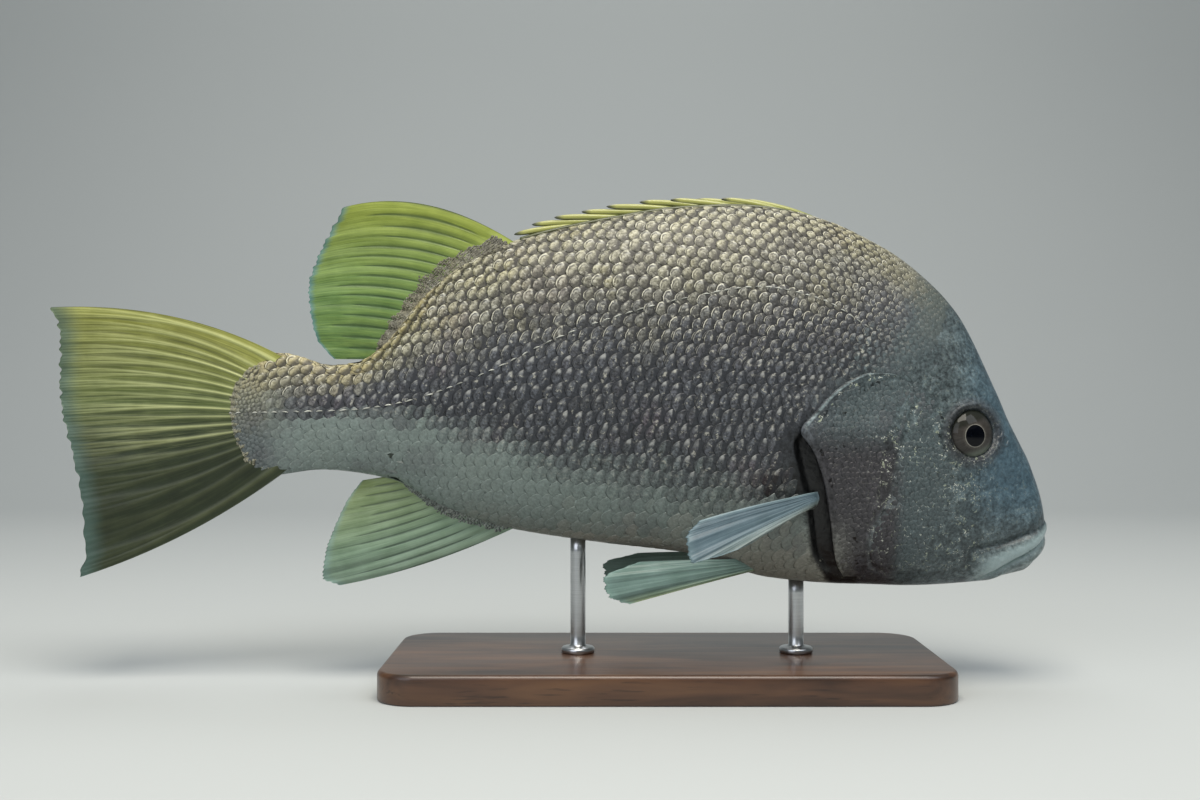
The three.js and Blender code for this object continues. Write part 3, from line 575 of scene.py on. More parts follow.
COLOURS = {"data_type": "RGBA"}
MULTIPLIED = {"data_type": "RGBA", "blend_type": "MULTIPLY"}
SOFT_LIGHT = {"data_type": "RGBA", "blend_type": "SOFT_LIGHT"}
SMOOTH = {"interpolation_type": "SMOOTHSTEP"}
PRODUCT = {"operation": "MULTIPLY"}
PRODUCT_SUM = {"operation": "MULTIPLY_ADD"}

# The colours of the fish's markings, with painted shade and highlights among them, in the order in which
# they cover the pale ground.
PALE_GROUND = "#737f7a"
ZONE_COLOURS = (
    ("zones_a", ("#43464b", "#9c9981", "#aaa075")),
    ("zones_b", ("#475254", "#435863", "#353437")),
    # The near black is the gill skin's and also painted shade; the pale is the lips' and also a painted
    # highlight.
    ("zones_c", ("#86877e", "#060708", "#9fb1b2")),
)


def zone_colour(node):
    """The zones' colour, markings and painted light alike: the pale ground with each zone's colour over it.
    """
    colour = PALE_GROUND
    for field, hexes in ZONE_COLOURS:
        shares = node("Attribute", output="Color", attribute_name=field)
        for share, over in zip(node("SeparateColor", {"Color": shares}).node.outputs, hexes):
            colour = node("Mix", {0: share, 6: colour, 7: over}, 2, **COLOURS)
    return colour


def naked_skin():
    """Scaleless fish skin under a thin film of mucus: faint clouds and fine grain of pigment cells, painted
    glints as pale and yellowish flecks, a soft gloss, and shallow wrinkles and pores in the bump.
    The lips are smoother and more even."""
    material, shader, node = new_material("moist_scaleless_skin")
    place = node("TexCoord", output="Object")
    clouds = node("TexNoise", {"Vector": place, "Scale": per_metre(11), "Detail": 4, "Roughness": 0.6})
    # Pigment cells are about 0.1 mm across, and the pores less than 1 mm: both are drawn coarser, to show.
    fine = node("TexNoise", {"Vector": place, "Scale": per_metre(1.4), "Detail": 4, "Roughness": 0.65})
    cells = node("TexVoronoi", {"Vector": place, "Scale": per_metre(2.3)}, "Distance")
    wrinkle = node("TexNoise", {"Vector": place, "Scale": per_metre(6), "Detail": 5, "Distortion": 1.2})
    snout_share, lip_share = (
        node("SeparateColor", {"Color": node("Attribute", output="Color", attribute_name=field)}, part)
        for field, part in (("zones_b", 1), ("zones_c", 2))
    )
    calm = node("Math", (lip_share, node("Math", (snout_share, 0.55), **PRODUCT)), operation="MAXIMUM")
    uneven = node("MapRange", (calm, 0.2, 0.9, 0.55, 0.10))
    clouded = node("MapRange", (clouds, 0.28, 0.72, 0.2, 0.8))
    grained = node("MapRange", (fine, 0.3, 0.7, 0.08, 0.92))
    folded = node("MapRange", (wrinkle, 0.36, 0.64, 0.2, 0.8))
    colour = zone_colour(node)
    more = node("Math", (uneven, 1.7), **PRODUCT)
    for amount, over in ((uneven, clouded), (more, grained), (uneven, folded)):
        colour = node("Mix", {0: amount, 6: colour, 7: over}, 2, **SOFT_LIGHT)
    # Painted glints, as pale flecks, where the field flecks is high.
    flecks = node("Attribute", output="Fac", attribute_name="flecks")
    for size, low, pale in ((2.1, 0.42, "#a3aa92"), (1.25, 0.46, "#dfe1d4")):
        shape = {"Vector": place, "Scale": per_metre(size), "Detail": 2, "Distortion": 1.8}
        glints = node("TexNoise", shape)
        near = node("MapRange", (glints, 0.60, 0.68), **SMOOTH)
        chosen = node("MapRange", (wrinkle, low, low + 0.14), **SMOOTH)
        amount = node("Math", (node("Math", (near, chosen), **PRODUCT), flecks), **PRODUCT)
        colour = node("Mix", {0: amount, 6: colour, 7: pale}, 2, **COLOURS)
    texture = node("Math", (cells, 0.5, node("Math", (wrinkle, 2.2, fine), **PRODUCT_SUM)), **PRODUCT_SUM)
    dent = node("Bump", {"Height": texture, "Strength": 0.75, "Distance": 0.0004})
    feed(shader, {"Base Color": colour, "Normal": dent, "Roughness": 0.38, "IOR": 1.4})
    feed(shader, {"Coat Weight": 0.15, "Coat Roughness": 0.22})
    return material


# The arcs of growth are drawn about 1.1 mm apart, where real ones are finer than 0.1 mm, so that they show.
ARCS = 13.0
ARC_START = 3.1


def scaled_skin(name, glints):
    """Scales of thin bone under clear skin, speckled with pigment. On the back each is a round light plate
    with a dark outline, fine growth arcs with painted highlights between them at its upper rear, and
    painted shade at its lower front. On the flank only a soft leaning lens, with a painted highlight at
    its upper tip, is left in a dark net; the net is partly pigment and partly painted shade in the gaps.
    Small painted glints lie among dark specks. Tones differ from scale to scale and in broad patches."""
    material, shader, node = new_material(name)
    place = node("TexCoord", output="Object")
    cell = node("Attribute", output="Color", attribute_name="cell")
    behind, upward, lot = node("SeparateColor", {"Color": cell}).node.outputs
    contrast = node("Attribute", output="Alpha", attribute_name="cell")
    roundness = node("Attribute", output="Fac", attribute_name="shine")
    ripple = node("TexNoise", {"Vector": place, "Scale": per_metre(2.6), "Detail": 4, "Roughness": 0.7})
    # The pigment cells' grit is drawn at 1 mm, about ten times too coarse, so that it shows.
    grit = node("TexNoise", {"Vector": place, "Scale": per_metre(1.05), "Detail": 3, "Roughness": 0.6})
    stain = node("TexNoise", {"Vector": place, "Scale": per_metre(22), "Detail": 4})
    patches = node("TexNoise", {"Vector": place, "Scale": per_metre(4.3), "Detail": 2})

    # The reach: 0 in the light middle and 1 at its outline, which leans, is pointed and narrow on the flank
    # and grows round towards the back, with a ragged edge.
    lean = node("Math", (roundness, -0.32, 0.40), **PRODUCT_SUM)
    breadth = node("Math", (roundness, 0.20, 0.34), **PRODUCT_SUM)
    tallness = node("Math", (roundness, -0.26, 0.90), **PRODUCT_SUM)
    across = node("Math", (upward, tallness), operation="DIVIDE")
    pointed = node("Math", (roundness, 0.6, -0.6), **PRODUCT_SUM)
    narrowed = node("Math", (node("Math", (across, across), **PRODUCT), pointed, 1.0), **PRODUCT_SUM)
    breadth = node("Math", (breadth, node("Math", (narrowed, 0.3), operation="MAXIMUM")), **PRODUCT)
    along = node("Math", (node("Math", (upward, lean, behind), **PRODUCT_SUM), breadth), operation="DIVIDE")
    spot = node("CombineXYZ", (along, across))
    reach = node("VectorMath", (spot,), "Value", operation="LENGTH")
    reach = node("Math", (reach, node("Math", (ripple, 0.70, -0.35), **PRODUCT_SUM)), operation="ADD")

    # Each scale's own tone, stains that run over many scales, pigment, and painted shade at the lower front.
    spread = node("Math", (contrast, 0.50, 0.06), **PRODUCT_SUM)
    tone = node("Math", (node("Math", (lot, -0.5), operation="ADD"), spread, 1.0), **PRODUCT_SUM)
    colour = node("Mix", {0: 1.0, 6: zone_colour(node), 7: tone}, 2, **MULTIPLIED)
    yellowed = node("Math", (node("MapRange", (stain, 0.50, 0.66, 0, 0.35), **SMOOTH), roundness), **PRODUCT)
    dulled = node("MapRange", (stain, 0.48, 0.34, 0, 0.3), **SMOOTH)
    flushed = node("TexNoise", {"Vector": place, "Scale": per_metre(48), "Detail": 2})
    flushed = node("Math", (node("MapRange", (flushed, 0.54, 0.68, 0, 0.3), **SMOOTH), contrast), **PRODUCT)
    for amount, over in ((yellowed, "#9d9564"), (dulled, "#4e4b50"), (flushed, "#6b555c")):
        colour = node("Mix", {0: amount, 6: colour, 7: over}, 2, **COLOURS)
    speckled = node("MapRange", (grit, 0.34, 0.66, 0.04, 0.96))
    specks = node("Math", (contrast, 0.85, 0.22), **PRODUCT_SUM)
    colour = node("Mix", {0: specks, 6: colour, 7: speckled}, 2, **SOFT_LIGHT)
    diagonal = node("Math", (behind, upward), operation="ADD")
    lower_front = node("MapRange", (diagonal, -0.45, 0.30, 0.9, 0), **SMOOTH)
    shaded = node("Math", (lower_front, roundness), **PRODUCT)
    colour = node("Mix", {0: shaded, 6: colour, 7: "#2b2922"}, 2, **COLOURS)

    # Painted highlights at the upper tips, in patches, and small flecks: pale painted glints and dark
    # specks.
    tip = node("MapRange", (upward, 0.14, 0.46), **SMOOTH)
    inside = node("MapRange", (reach, 1.05, 0.75), **SMOOTH)
    tip = node("Math", (node("Math", (tip, inside), **PRODUCT), contrast), **PRODUCT)
    tip = node("Math", (tip, node("MapRange", (patches, 0.44, 0.66, 0.05, 0.8), **SMOOTH)), **PRODUCT)
    colour = node("Mix", {0: tip, 6: colour, 7: "#b4b5b0"}, 2, **COLOURS)

    flecks = node("TexNoise", {"Vector": place, "Scale": per_metre(1.9), "Detail": 3, "Roughness": 0.7})
    for low, high, over in ((0.56, 0.68, "#c9c7b8"), (0.44, 0.32, "#2a2925")):
        fleck = node("Math", (node("MapRange", (flecks, low, high, 0, 0.62), **SMOOTH), contrast), **PRODUCT)
        colour = node("Mix", {0: fleck, 6: colour, 7: over}, 2, **COLOURS)

    # The dark net between the light middles, partly pigment and partly painted shade in the gaps between
    # scales, and weaker on a round plate's upper rear side, where it is painted as lit.
    outline = node("Math", (roundness, 0.36, 0.48), **PRODUCT_SUM)
    net = node("Math", (node("MapRange", (reach, outline, 1.04), **SMOOTH), contrast), **PRODUCT)
    upper_rear = node("MapRange", (diagonal, -0.15, 0.4, 0, 0.7), **SMOOTH)
    lit_side = node("Math", (upper_rear, roundness), **PRODUCT)
    net = node("Math", (net, node("Math", (1.0, lit_side), operation="SUBTRACT")), **PRODUCT)
    net_colour = node("Mix", {0: roundness, 6: "#26292e", 7: "#1d1b15"}, 2, **COLOURS)
    colour = node("Mix", {0: net, 6: colour, 7: net_colour}, 2, **COLOURS)

    # The arcs of growth, a wave over the reach, on the upper rear side of round plates: dark arcs, and
    # between them painted highlights.
    rearward = node("Math", (upward, 0.9, behind), **PRODUCT_SUM)
    strength = node("MapRange", (rearward, 0.02, 0.34), **SMOOTH)
    for limits in ((roundness, 0.0, 0.45), (reach, 0.30, 0.55), (patches, 0.38, 0.54, 0.25, 1.0)):
        strength = node("Math", (strength, node("MapRange", limits, **SMOOTH)), **PRODUCT)
    wave = node("Math", (node("Math", (reach, ARCS, ARC_START), **PRODUCT_SUM),), operation="SINE")
    dark_arcs = wave, 0.1, -0.7, 0, 0.75
    highlight_arcs = wave, 0.2, 0.9, 0, 0.75 * glints
    for arcs, over in ((dark_arcs, "#2b2a24"), (highlight_arcs, "#dcd9c4")):
        amount = node("Math", (node("MapRange", arcs, **SMOOTH), strength), **PRODUCT)
        colour = node("Mix", {0: amount, 6: colour, 7: over}, 2, **COLOURS)
    height = node("Math", (node("Math", (wave, strength), **PRODUCT), 0.3, grit), **PRODUCT_SUM)
    grain = node("Bump", {"Height": height, "Strength": 0.4, "Distance": 0.0003})
    feed(shader, {"Base Color": colour, "Normal": grain, "Roughness": 0.48, "IOR": 1.4})
    feed(shader, {"Coat Weight": 0.1, "Coat Roughness": 0.25})
    return material


def silvery_pores():
    """The lateral line's tubes: pale, silvery, glossy skin."""
    material, shader, node = new_material("silvery_lateral_line_tubes")
    place = node("TexCoord", output="Object")
    patches = node("TexNoise", {"Vector": place, "Scale": per_metre(3.8), "Detail": 3})
    colour = node("ValToRGB", {"Fac": patches}, stops=((0.35, "#84867f"), (0.65, "#cfd0c6")))
    feed(shader, {"Base Color": colour, "Roughness": 0.3, "Coat Weight": 0.3})
    return material


def fin_skin(name, stops, ray, streak, margin, ray_share=0.5, streaks=0.6, margin_start=0.93, ray_end=2.0):
    """Fin skin stretched over horny rays. Its colour runs from the fin's front to its rear, rays and their
    branches are paler up to the share ray_end, dark gaps and fine dark streaks lie between them, and the
    free margin is thin."""
    material, shader, node = new_material(name)
    share, run, height, gap = (
        node("Attribute", output="Fac", attribute_name=field) for field in ("share", "run", "ray", "gap")
    )
    colour = node("ValToRGB", {"Fac": share}, stops=stops)
    pale = node("MapRange", (share, ray_end, ray_end + 0.18, 0.72, 0.10), **SMOOTH)
    ray = node("Mix", {0: pale, 6: colour, 7: ray}, 2, **COLOURS)
    # Streaks along the rays, 45 and 210 across the whole fin: 2 mm and 0.5 mm wide on the tail fin.
    streak_places = (
        node("Mapping", {"Vector": node("CombineXYZ", (share, run)), "Scale": (across, along, 1)})
        for across, along in ((45, 2.0), (210, 4.0))
    )
    lanes, hairs = (
        node("TexNoise", {"Vector": place, "Scale": 1.0, "Detail": 3}) for place in streak_places
    )
    between = node("Math", (1.0, height), operation="SUBTRACT", use_clamp=True)
    lane = node("MapRange", (lanes, 0.42, 0.66, 0, streaks / 0.72), **SMOOTH)
    lane = node("Math", (node("Math", (lane, between), **PRODUCT), pale), **PRODUCT)
    hair = node("MapRange", (hairs, 0.42, 0.62, 0, 0.4 * streaks), **SMOOTH)
    light_hair = node("MapRange", (hairs, 0.55, 0.36, 0, 0.5 * streaks), **SMOOTH)
    fade = node("MapRange", (run, 0.3, 1.0, ray_share, 0.25 * ray_share), **SMOOTH)
    on_ray = node("Math", (height, fade), **PRODUCT)
    in_gap = node("Math", (gap, 0.8), **PRODUCT)
    thin = node("MapRange", (run, margin_start, 1.0, 0, 0.75), **SMOOTH)
    for amount, over in (
        (lane, streak), (hair, streak), (light_hair, ray), (on_ray, ray), (in_gap, streak), (thin, margin),
    ):
        colour = node("Mix", {0: amount, 6: colour, 7: over}, 2, **COLOURS)
    object_place = node("TexCoord", output="Object")
    mottle = node("TexNoise", {"Vector": object_place, "Scale": per_metre(9), "Detail": 3})
    colour = node("Mix", {0: mottle, 6: colour, 7: "#6f7168"}, 2, **SOFT_LIGHT)
    grain = node("TexNoise", {"Vector": object_place, "Scale": per_metre(1.4), "Detail": 3})
    dent = node("Bump", {"Height": grain, "Strength": 0.2, "Distance": 0.0003})
    feed(shader, {"Base Color": colour, "Normal": dent, "Roughness": 0.45, "IOR": 1.38})
    feed(shader, {"Coat Weight": 0.12, "Coat Roughness": 0.25})
    return material


def spine_horn():
    """Fin spines, smooth yellow-green horn: dark at the tip, with painted shade along the side that lies on
    the back and over the groove the spines fold into.
    """
    material, shader, node = new_material("yellow_green_spine_horn")
    run, under = (node("Attribute", output="Fac", attribute_name=field) for field in ("run", "under"))
    along = node("ValToRGB", {"Fac": run}, stops=(
        (0.0, "#6c7440"), (0.3, "#959850"), (0.86, "#a0a158"), (0.95, "#4a4f30"), (1.0, "#15170f"),
    ))
    # Painted shade where the field under is high.
    dark = node("Math", (under, 0.9), **PRODUCT)
    colour = node("Mix", {0: dark, 6: along, 7: "#262a1c"}, 2, **COLOURS)
    feed(shader, {"Base Color": colour, "Roughness": 0.36, "Coat Weight": 0.25})
    return material


def eye_glass():
    """The eye under its clear cornea, as polished as glass: a blue-black pupil in a thin pale ring, a dark
    grey iris with fine fibres, painted olive shadow on top under the brow, a painted silvery reflection
    as a crescent below, and a darker edge. Nearly all of its gloss is the cornea's, so the coat has it."""
    material, shader, node = new_material("polished_eye")
    radius, height, angle = (
        node("Attribute", output="Fac", attribute_name=field) for field in ("radius", "height", "angle")
    )
    rings = node("ValToRGB", {"Fac": radius}, stops=(
        (0.0, "#010206"), (0.42, "#020308"), (0.44, "#8f8d84"), (0.46, "#4b4843"), (0.56, "#393633"),
        (0.80, "#3a3835"), (0.93, "#2b2c2b"), (1.0, "#141616"),
    ))
    spokes = node("Mapping", {"Vector": node("CombineXYZ", (angle, radius)), "Scale": (9, 3, 1)})
    fibres = node("TexNoise", {"Vector": spokes, "Scale": 1.0, "Detail": 4})
    colour = node("Mix", {0: 0.6, 6: rings, 7: fibres}, 2, **SOFT_LIGHT)
    # Painted shadow over the top of the iris, under the brow, and a painted reflection on its lower part.
    shade = node("MapRange", (height, 0.40, 0.62, 0, 0.75), **SMOOTH)
    painted_reflection = node("MapRange", (height, -0.45, -0.85, 0, 0.55), **SMOOTH)
    for amount, over in ((shade, "#1b1e17"), (painted_reflection, "#808a7c")):
        colour = node("Mix", {0: amount, 6: colour, 7: over}, 2, **COLOURS)
    feed(shader, {"Base Color": colour, "Roughness": 0.3, "IOR": 1.05})
    feed(shader, {"Coat Weight": 0.6, "Coat Roughness": 0.05, "Coat IOR": 1.376})
    return material


def stained_wood():
    """Stained walnut, planed and satin varnished: long wavy grain with fine dark pores."""
    material, shader, node = new_material("satin_stained_walnut")
    place = node("TexCoord", output="Object")
    long = node("Mapping", {"Vector": place, "Scale": (1, 9, 9)})
    waver = node("TexNoise", {"Vector": long, "Scale": per_metre(72), "Detail": 3, "Distortion": 0.6})
    bands = node("ValToRGB", {"Fac": waver}, stops=((0.3, "#2e1d12"), (0.5, "#4d3322"), (0.7, "#63452d")))
    # Pores 0.2 mm wide are drawn 1.1 mm wide and 17 mm long, so that they show.
    pore_place = node("Mapping", {"Vector": place, "Scale": (per_metre(17), per_metre(1.1), per_metre(1.1))})
    pores = node("TexNoise", {"Vector": pore_place, "Scale": 1.0, "Detail": 2})
    dark = node("MapRange", (pores, 0.6, 0.7, 0, 0.6))
    colour = node("Mix", {0: dark, 6: bands, 7: "#1d110a"}, 2, **COLOURS)
    dent = node("Bump", {"Height": pores, "Strength": 0.15, "Distance": 0.0002})
    feed(shader, {"Base Color": colour, "Normal": dent, "Roughness": 0.38})
    feed(shader, {"Coat Weight": 0.3, "Coat Roughness": 0.2})
    return material


def brushed_rod_steel():
    """Stainless steel rod, brushed round: a soft sheen drawn out along fine rings."""
    material, shader, node = new_material("brushed_stainless_rod")
    place = node("TexCoord", output="Object")
    # Scratches of 0.05 mm are drawn 0.4 mm high, so that they show.
    rings = node("Mapping", {"Vector": place, "Scale": (per_metre(12.5), per_metre(12.5), per_metre(0.4))})
    scratches = node("TexNoise", {"Vector": rings, "Scale": 1.0, "Detail": 2})
    colour = node("Mix", {0: scratches, 6: "#a9acae", 7: "#cfd1d2"}, 2, **COLOURS)
    dent = node("Bump", {"Height": scratches, "Strength": 0.2, "Distance": 0.0001})
    feed(shader, {"Base Color": colour, "Normal": dent, "Metallic": 1.0, "Roughness": 0.3})
    return material


def studio_paper():
    """Pale seamless paper, matt, with a barely seen unevenness."""
    material, shader, node = new_material("pale_seamless_paper")
    place = node("TexCoord", output="Object")
    cloud = node("TexNoise", {"Vector": place, "Scale": per_metre(670), "Detail": 2})
    colour = node("Mix", {0: cloud, 6: "#b3b8b8", 7: "#babebd"}, 2, **COLOURS)
    feed(shader, {"Base Color": colour, "Roughness": 0.9})
    return material


# Skin

TRUNK_STEP, HEAD_STEP = 2.0, 0.6
HALF_RING = 150


def skin_stations():
    """Places along the body for the skin's rings: close together on the head, wider on the scaled trunk,
    and crowding to both ends as the sine of equal turns."""
    quarter = np.sin(np.linspace(0, math.pi / 2, 19)[1:-1])
    tail = TAIL_END_X + TAIL_ROUNDING * (1 - quarter[::-1])
    trunk = np.arange(TAIL_END_X + TAIL_ROUNDING, HEAD_REAR_X, TRUNK_STEP)
    head = np.arange(HEAD_REAR_X, SNOUT_X - SNOUT_ROUNDING, HEAD_STEP)
    nose = SNOUT_X - SNOUT_ROUNDING + SNOUT_ROUNDING * quarter
    return np.concatenate([tail, trunk, head, nose])


def add_skin(material):
    """The fish's whole skin in one piece: rings round the body at even shares of its girth, out over the
    relief, and closed at the snout and the tail. Between the scales it is painted darker, as shade in the
    gaps, by as much as their net is dark."""
    shares = np.linspace(0, 1, HALF_RING + 1)
    shares = np.concatenate([shares, shares[-2:0:-1]])
    side = np.where(np.arange(2 * HALF_RING) <= HALF_RING, 1.0, -1.0)
    x, share = np.broadcast_arrays(skin_stations()[:, None], shares)
    rings, _ = skin(x, turn_of_share(x, share), np.broadcast_to(side, x.shape))
    corners, faces = loft(rings)
    x, z = corners[:, 0], corners[:, 2]
    fields = markings_and_painted_light(corners)
    # Painted shade: the skin under the scales is darkened towards the gill skin's black.
    shade_between_scales = 0.75 * net_contrast(x, z) * smooth((front_of_scales(z) - x + 2) / 22) * (x < 150)
    fields["zones_c"][:, 1] = np.maximum(fields["zones_c"][:, 1], shade_between_scales)
    made = add_piece("skin", corners, faces, material, fields)
    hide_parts("head", "trunk", "tail_stem", "lower_jaw", "upper_lip", "gill_membrane")


# Scales

# The kinds of scale: places of its cross rows, points in a row, how deep its root lies and how its height
# bends. A scale is longer and wider than its pitch and row, so that it lies over its neighbours.
LARGE_SCALE = ((0, 0.3, 0.52, 0.70, 0.84, 0.93, 1.0), 7, 0.45, 0.9)
SMALL_SCALE = ((0, 0.4, 0.7, 0.9, 1.0), 5, 0.45, 0.9)
FLAT_SCALE = ((0, 0.4, 0.7, 0.9, 1.0), 5, 1.1, 0.6)
SCALE_LENGTH = 1.86
SCALE_HALF_WIDTH = 0.72
ROOT_SHARE = 0.57
ROWS_EACH_WAY = 60       # rows are counted this far up and down, which is more than the body holds
ROW_SHIFT = 0.22         # how many pitches a row starts behind the one below it
BAKE_PATCH = 0.003       # a scale's size on the map OFBake, where each side has one half
BAKE_LENGTH, BAKE_HEIGHT = 360, 260         # the body's length and girth in mm that a half holds
MIDDLE_BEHIND = 0.29     # how many pitches the light middle lies behind the scale's root


def scale_template(lengthwise, columns, depth, bend):
    """One scale as a grid: a runs from its buried root, 0, to its free end, 1, and b across it from -1 to
    1. Its free end is a rounded arc, its height rises towards that end, is domed across, stands a little
    higher on its upper side, and falls off at the rim. Gives place, width and height, all flat."""
    b = np.sin(np.linspace(-math.pi / 2, math.pi / 2, columns))
    a, b = np.meshgrid(np.array(lengthwise), b, indexing="ij")
    place = a * (1 - 0.24 * b**2)
    width = b * (0.70 + 0.30 * np.sin(math.pi * a))
    edge = np.zeros_like(a)
    edge[-1, :] = edge[:, 0] = edge[:, -1] = 1
    height = (depth + 0.6) * place**bend - depth + 0.08 * (1 - b**2) * np.sin(math.pi * a**1.3) + 0.14 * b
    height = height - edge * (0.12 + 0.14 * a)
    return place.ravel(), width.ravel(), height.ravel()


def scale_faces(count, lengthwise, columns, *_):
    """The faces of many scales: each scale's own grid, and one flat face under it round its rim."""
    rows = len(lengthwise)
    grid = grid_faces(rows, columns)
    top = np.arange(columns)
    right = np.arange(1, rows) * columns + columns - 1
    bottom = (rows - 1) * columns + np.arange(columns - 2, -1, -1)
    left = np.arange(rows - 2, 0, -1) * columns
    rim = np.concatenate([top, right, bottom, left])[None, ::-1]
    step = (np.arange(count) * rows * columns)[:, None, None]
    return [(grid[None] + step).reshape(-1, 4), (rim[None] + step).reshape(count, -1)]


def bake_patches(roots, place, width):
    """The map OFBake for many scales: each is a small patch round its root's place on the map."""
    patch = np.stack([(place - 0.5) * BAKE_PATCH, width * BAKE_PATCH / 2], axis=-1)
    return (roots[:, None, :] + patch[None, :, :]).reshape(-1, 2)


def scatter(spread, shape):
    """Random numbers round 0, none farther off than twice the spread."""
    return np.clip(draw.normal(0, spread, shape), -2 * spread, 2 * spread)


def scale_lattice(front, rear, pitch, row_up, row_down, side, stray=0.07):
    """Places of scales in rows along the body, counted up and down from its axis line. A row lies its
    number times the row distance at x from that line. Gives x, the way above the line, pitch, row distance
    and the row's slope."""
    columns = [front]
    while columns[-1] > rear:
        columns.append(columns[-1] - pitch(columns[-1]))
    numbers = np.arange(-ROWS_EACH_WAY, ROWS_EACH_WAY + 1)[:, None]
    at = np.arange(len(columns))[None, :] + ROW_SHIFT * numbers
    inside = (at >= 0) & (at <= len(columns) - 1)
    x = np.interp(at, np.arange(len(columns)), columns)
    row_at = lambda where: np.where(numbers > 0, row_up(where), row_down(where))
    slope = numbers * (row_at(x + 1) - row_at(x - 1)) / 2 * smooth((x - 40) / 40)
    numbers = np.broadcast_to(numbers, x.shape)
    row = row_at(x)
    x = x + scatter(stray, x.shape) * pitch(x)
    above = numbers * row + scatter(0.8 * stray, x.shape) * row
    share = share_above(x, above)
    # On the left the rows go on over the back and the belly, and on the right they stop short of them.
    margin = 0.28 * side * row / half_girth(x)
    kept = inside & (share > -margin) & (share < 1 + margin)
    return chosen((x, above, pitch(x), row, slope), kept)


def net_contrast(x, z):
    """How dark the net between the scales' light middles is: strong on the flank and the back, less on the
    tail stem and least along its top, faint below."""
    softness = np.interp(x, [-110, -60, 40], [6, 12, 36])
    stem = 1 - 0.6 * smooth((-96 - x) / 16)
    stem = stem * (1 - 0.5 * smooth((z - back_line(x) + 12) / 9) * smooth((-34 - x) / 22))
    return 0.04 + 0.82 * stem * smooth((z - dark_low(x)) / softness + 0.55)


def roundness_of(x, z):
    """How far the scales show as round light plates with painted highlights in arcs at their upper rear and
    painted shade at their lower front, from 0 on the belly to 1 on the back."""
    middle = 0.5 * (dark_low(x) + dark_high(x))
    return 0.05 + 0.95 * smooth((z - middle) / (0.6 * (dark_high(x) - dark_low(x)) + 6))


def scale_coat(
    name, places, side, material, template, height=1.0, height_of=relief, net=1.0, shine=1.0, blur=3.2,
):
    """Many scales as one mesh: each template point goes a share of the scale's length back from its root
    and a share of its width across the row, and is lifted off the skin by its height. Points that pass
    the back or the belly go on down the other side. Each scale has the markings' colours of its root,
    blurred by a chance shift up or down in mm."""
    x, above, pitch, row, slope = places
    count = len(x)
    place, width, lift = scale_template(*template)
    size = 1 + scatter(0.07, count)
    tilt = scatter(0.06, count)
    at_x = x[:, None] + (ROOT_SHARE - place) * (SCALE_LENGTH * pitch * size)[:, None]
    across = (width + tilt[:, None] * (place - 0.3)) * (SCALE_HALF_WIDTH * row * size)[:, None]
    at_above = above[:, None] + across + slope[:, None] * (at_x - x[:, None])
    rise = np.broadcast_to(height, count) * np.sqrt(np.minimum(pitch, row) / 5)
    lifted = lift * rise[:, None] + scatter(0.06, count)[:, None] * place * rise[:, None]
    share = share_above(at_x, at_above)
    over = (share < 0) | (share > 1)
    share = np.abs(share)
    share = np.where(share > 1, 2 - share, share)
    corners, _ = skin(at_x, turn_of_share(at_x, share), np.where(over, -side, side), lifted, height_of)
    root, _ = skin(x, turn_of_share(x, share_above(x, above)), side)
    root_x, root_z = root[:, 0], root[:, 2] + scatter(blur, count) * np.interp(x, [-70, -20], [0.4, 1])
    fields = {key: np.repeat(values, len(place), axis=0) for key, values in zones(root_x, root_z).items()}
    fields["zones_c"][:, 1 if height_of is cover_relief else 2] = 0
    behind = (x[:, None] - at_x) / pitch[:, None] - MIDDLE_BEHIND
    upward = across / row[:, None]
    lot, net = draw.random(count), net * net_contrast(root_x, root[:, 2])
    cell = np.broadcast_arrays(behind, upward, lot[:, None], net[:, None])
    fields["cell"] = np.stack(cell, axis=-1).reshape(-1, 4)
    fields["shine"] = np.repeat(shine * roundness_of(root_x, root[:, 2]), len(place))
    u = (x - TAIL_END_X) / BAKE_LENGTH * 0.48 + (0.01 if side > 0 else 0.51)
    v = above / BAKE_HEIGHT + 0.5
    bake_uv = bake_patches(np.stack([u, v], axis=-1), place, width)
    faces = scale_faces(count, *template)
    add_piece(name, corners.reshape(-1, 3), faces, material, fields, bake_uv)


def front_of_scales(z):
    """Where the large scales end towards the head at a height."""
    return np.interp(z, [100, 124, 129, 140, 160, 185], [118, 120, 140, 158, 168, 172])


def coverage(x, z):
    """How densely the cheek is scaled, from 1 behind the eye to 0 on the snout, the lips, the throat and the
    ring round the eye."""
    limit = np.interp(z, [40, 47, 56, 70, 85, 100, 120, 135], [140, 150, 160, 168, 172, 168, 160, 150])
    off_eye = smooth((around_eye(x, z) - ORBIT_RADIUS - 1) / 4)
    return smooth((limit - x) / 16) * off_eye * smooth((z - 43) / 5)


# The scales' pitch along the body and the distance of their rows above and below the axis line, in mm,
# against x.
trunk_pitch = curve([
    (-140, 3.2), (-122, 3.9), (-110, 4.8), (-90, 5.2), (-70, 4.8), (-45, 4.3), (-20, 4.6), (0, 4.9),
    (30, 4.7), (60, 4.5), (97, 4.1), (127, 3.2), (150, 2.4), (165, 2.0), (209, 1.9),
])
trunk_row_up = curve([
    (-140, 3.3), (-122, 3.9), (-110, 4.5), (-90, 4.9), (-30, 5.4), (0, 5.7), (30, 5.6), (60, 5.3), (97, 4.6),
    (127, 3.7), (150, 2.8), (165, 2.4), (209, 2.3),
])
trunk_row_down = curve([
    (-140, 3.3), (-122, 3.9), (-90, 4.6), (-30, 5.3), (0, 5.8), (30, 6.2), (60, 6.3), (97, 5.8), (127, 4.9),
    (209, 4.5),
])
small_size = curve([(90, 2.1), (150, 2.0), (180, 1.8), (209, 1.8)])
end_size = curve([(-136, 1.45), (-128, 1.7), (-118, 2.3)])
TAIL_BASE_X = -121
COAT_FRONT_X = 212
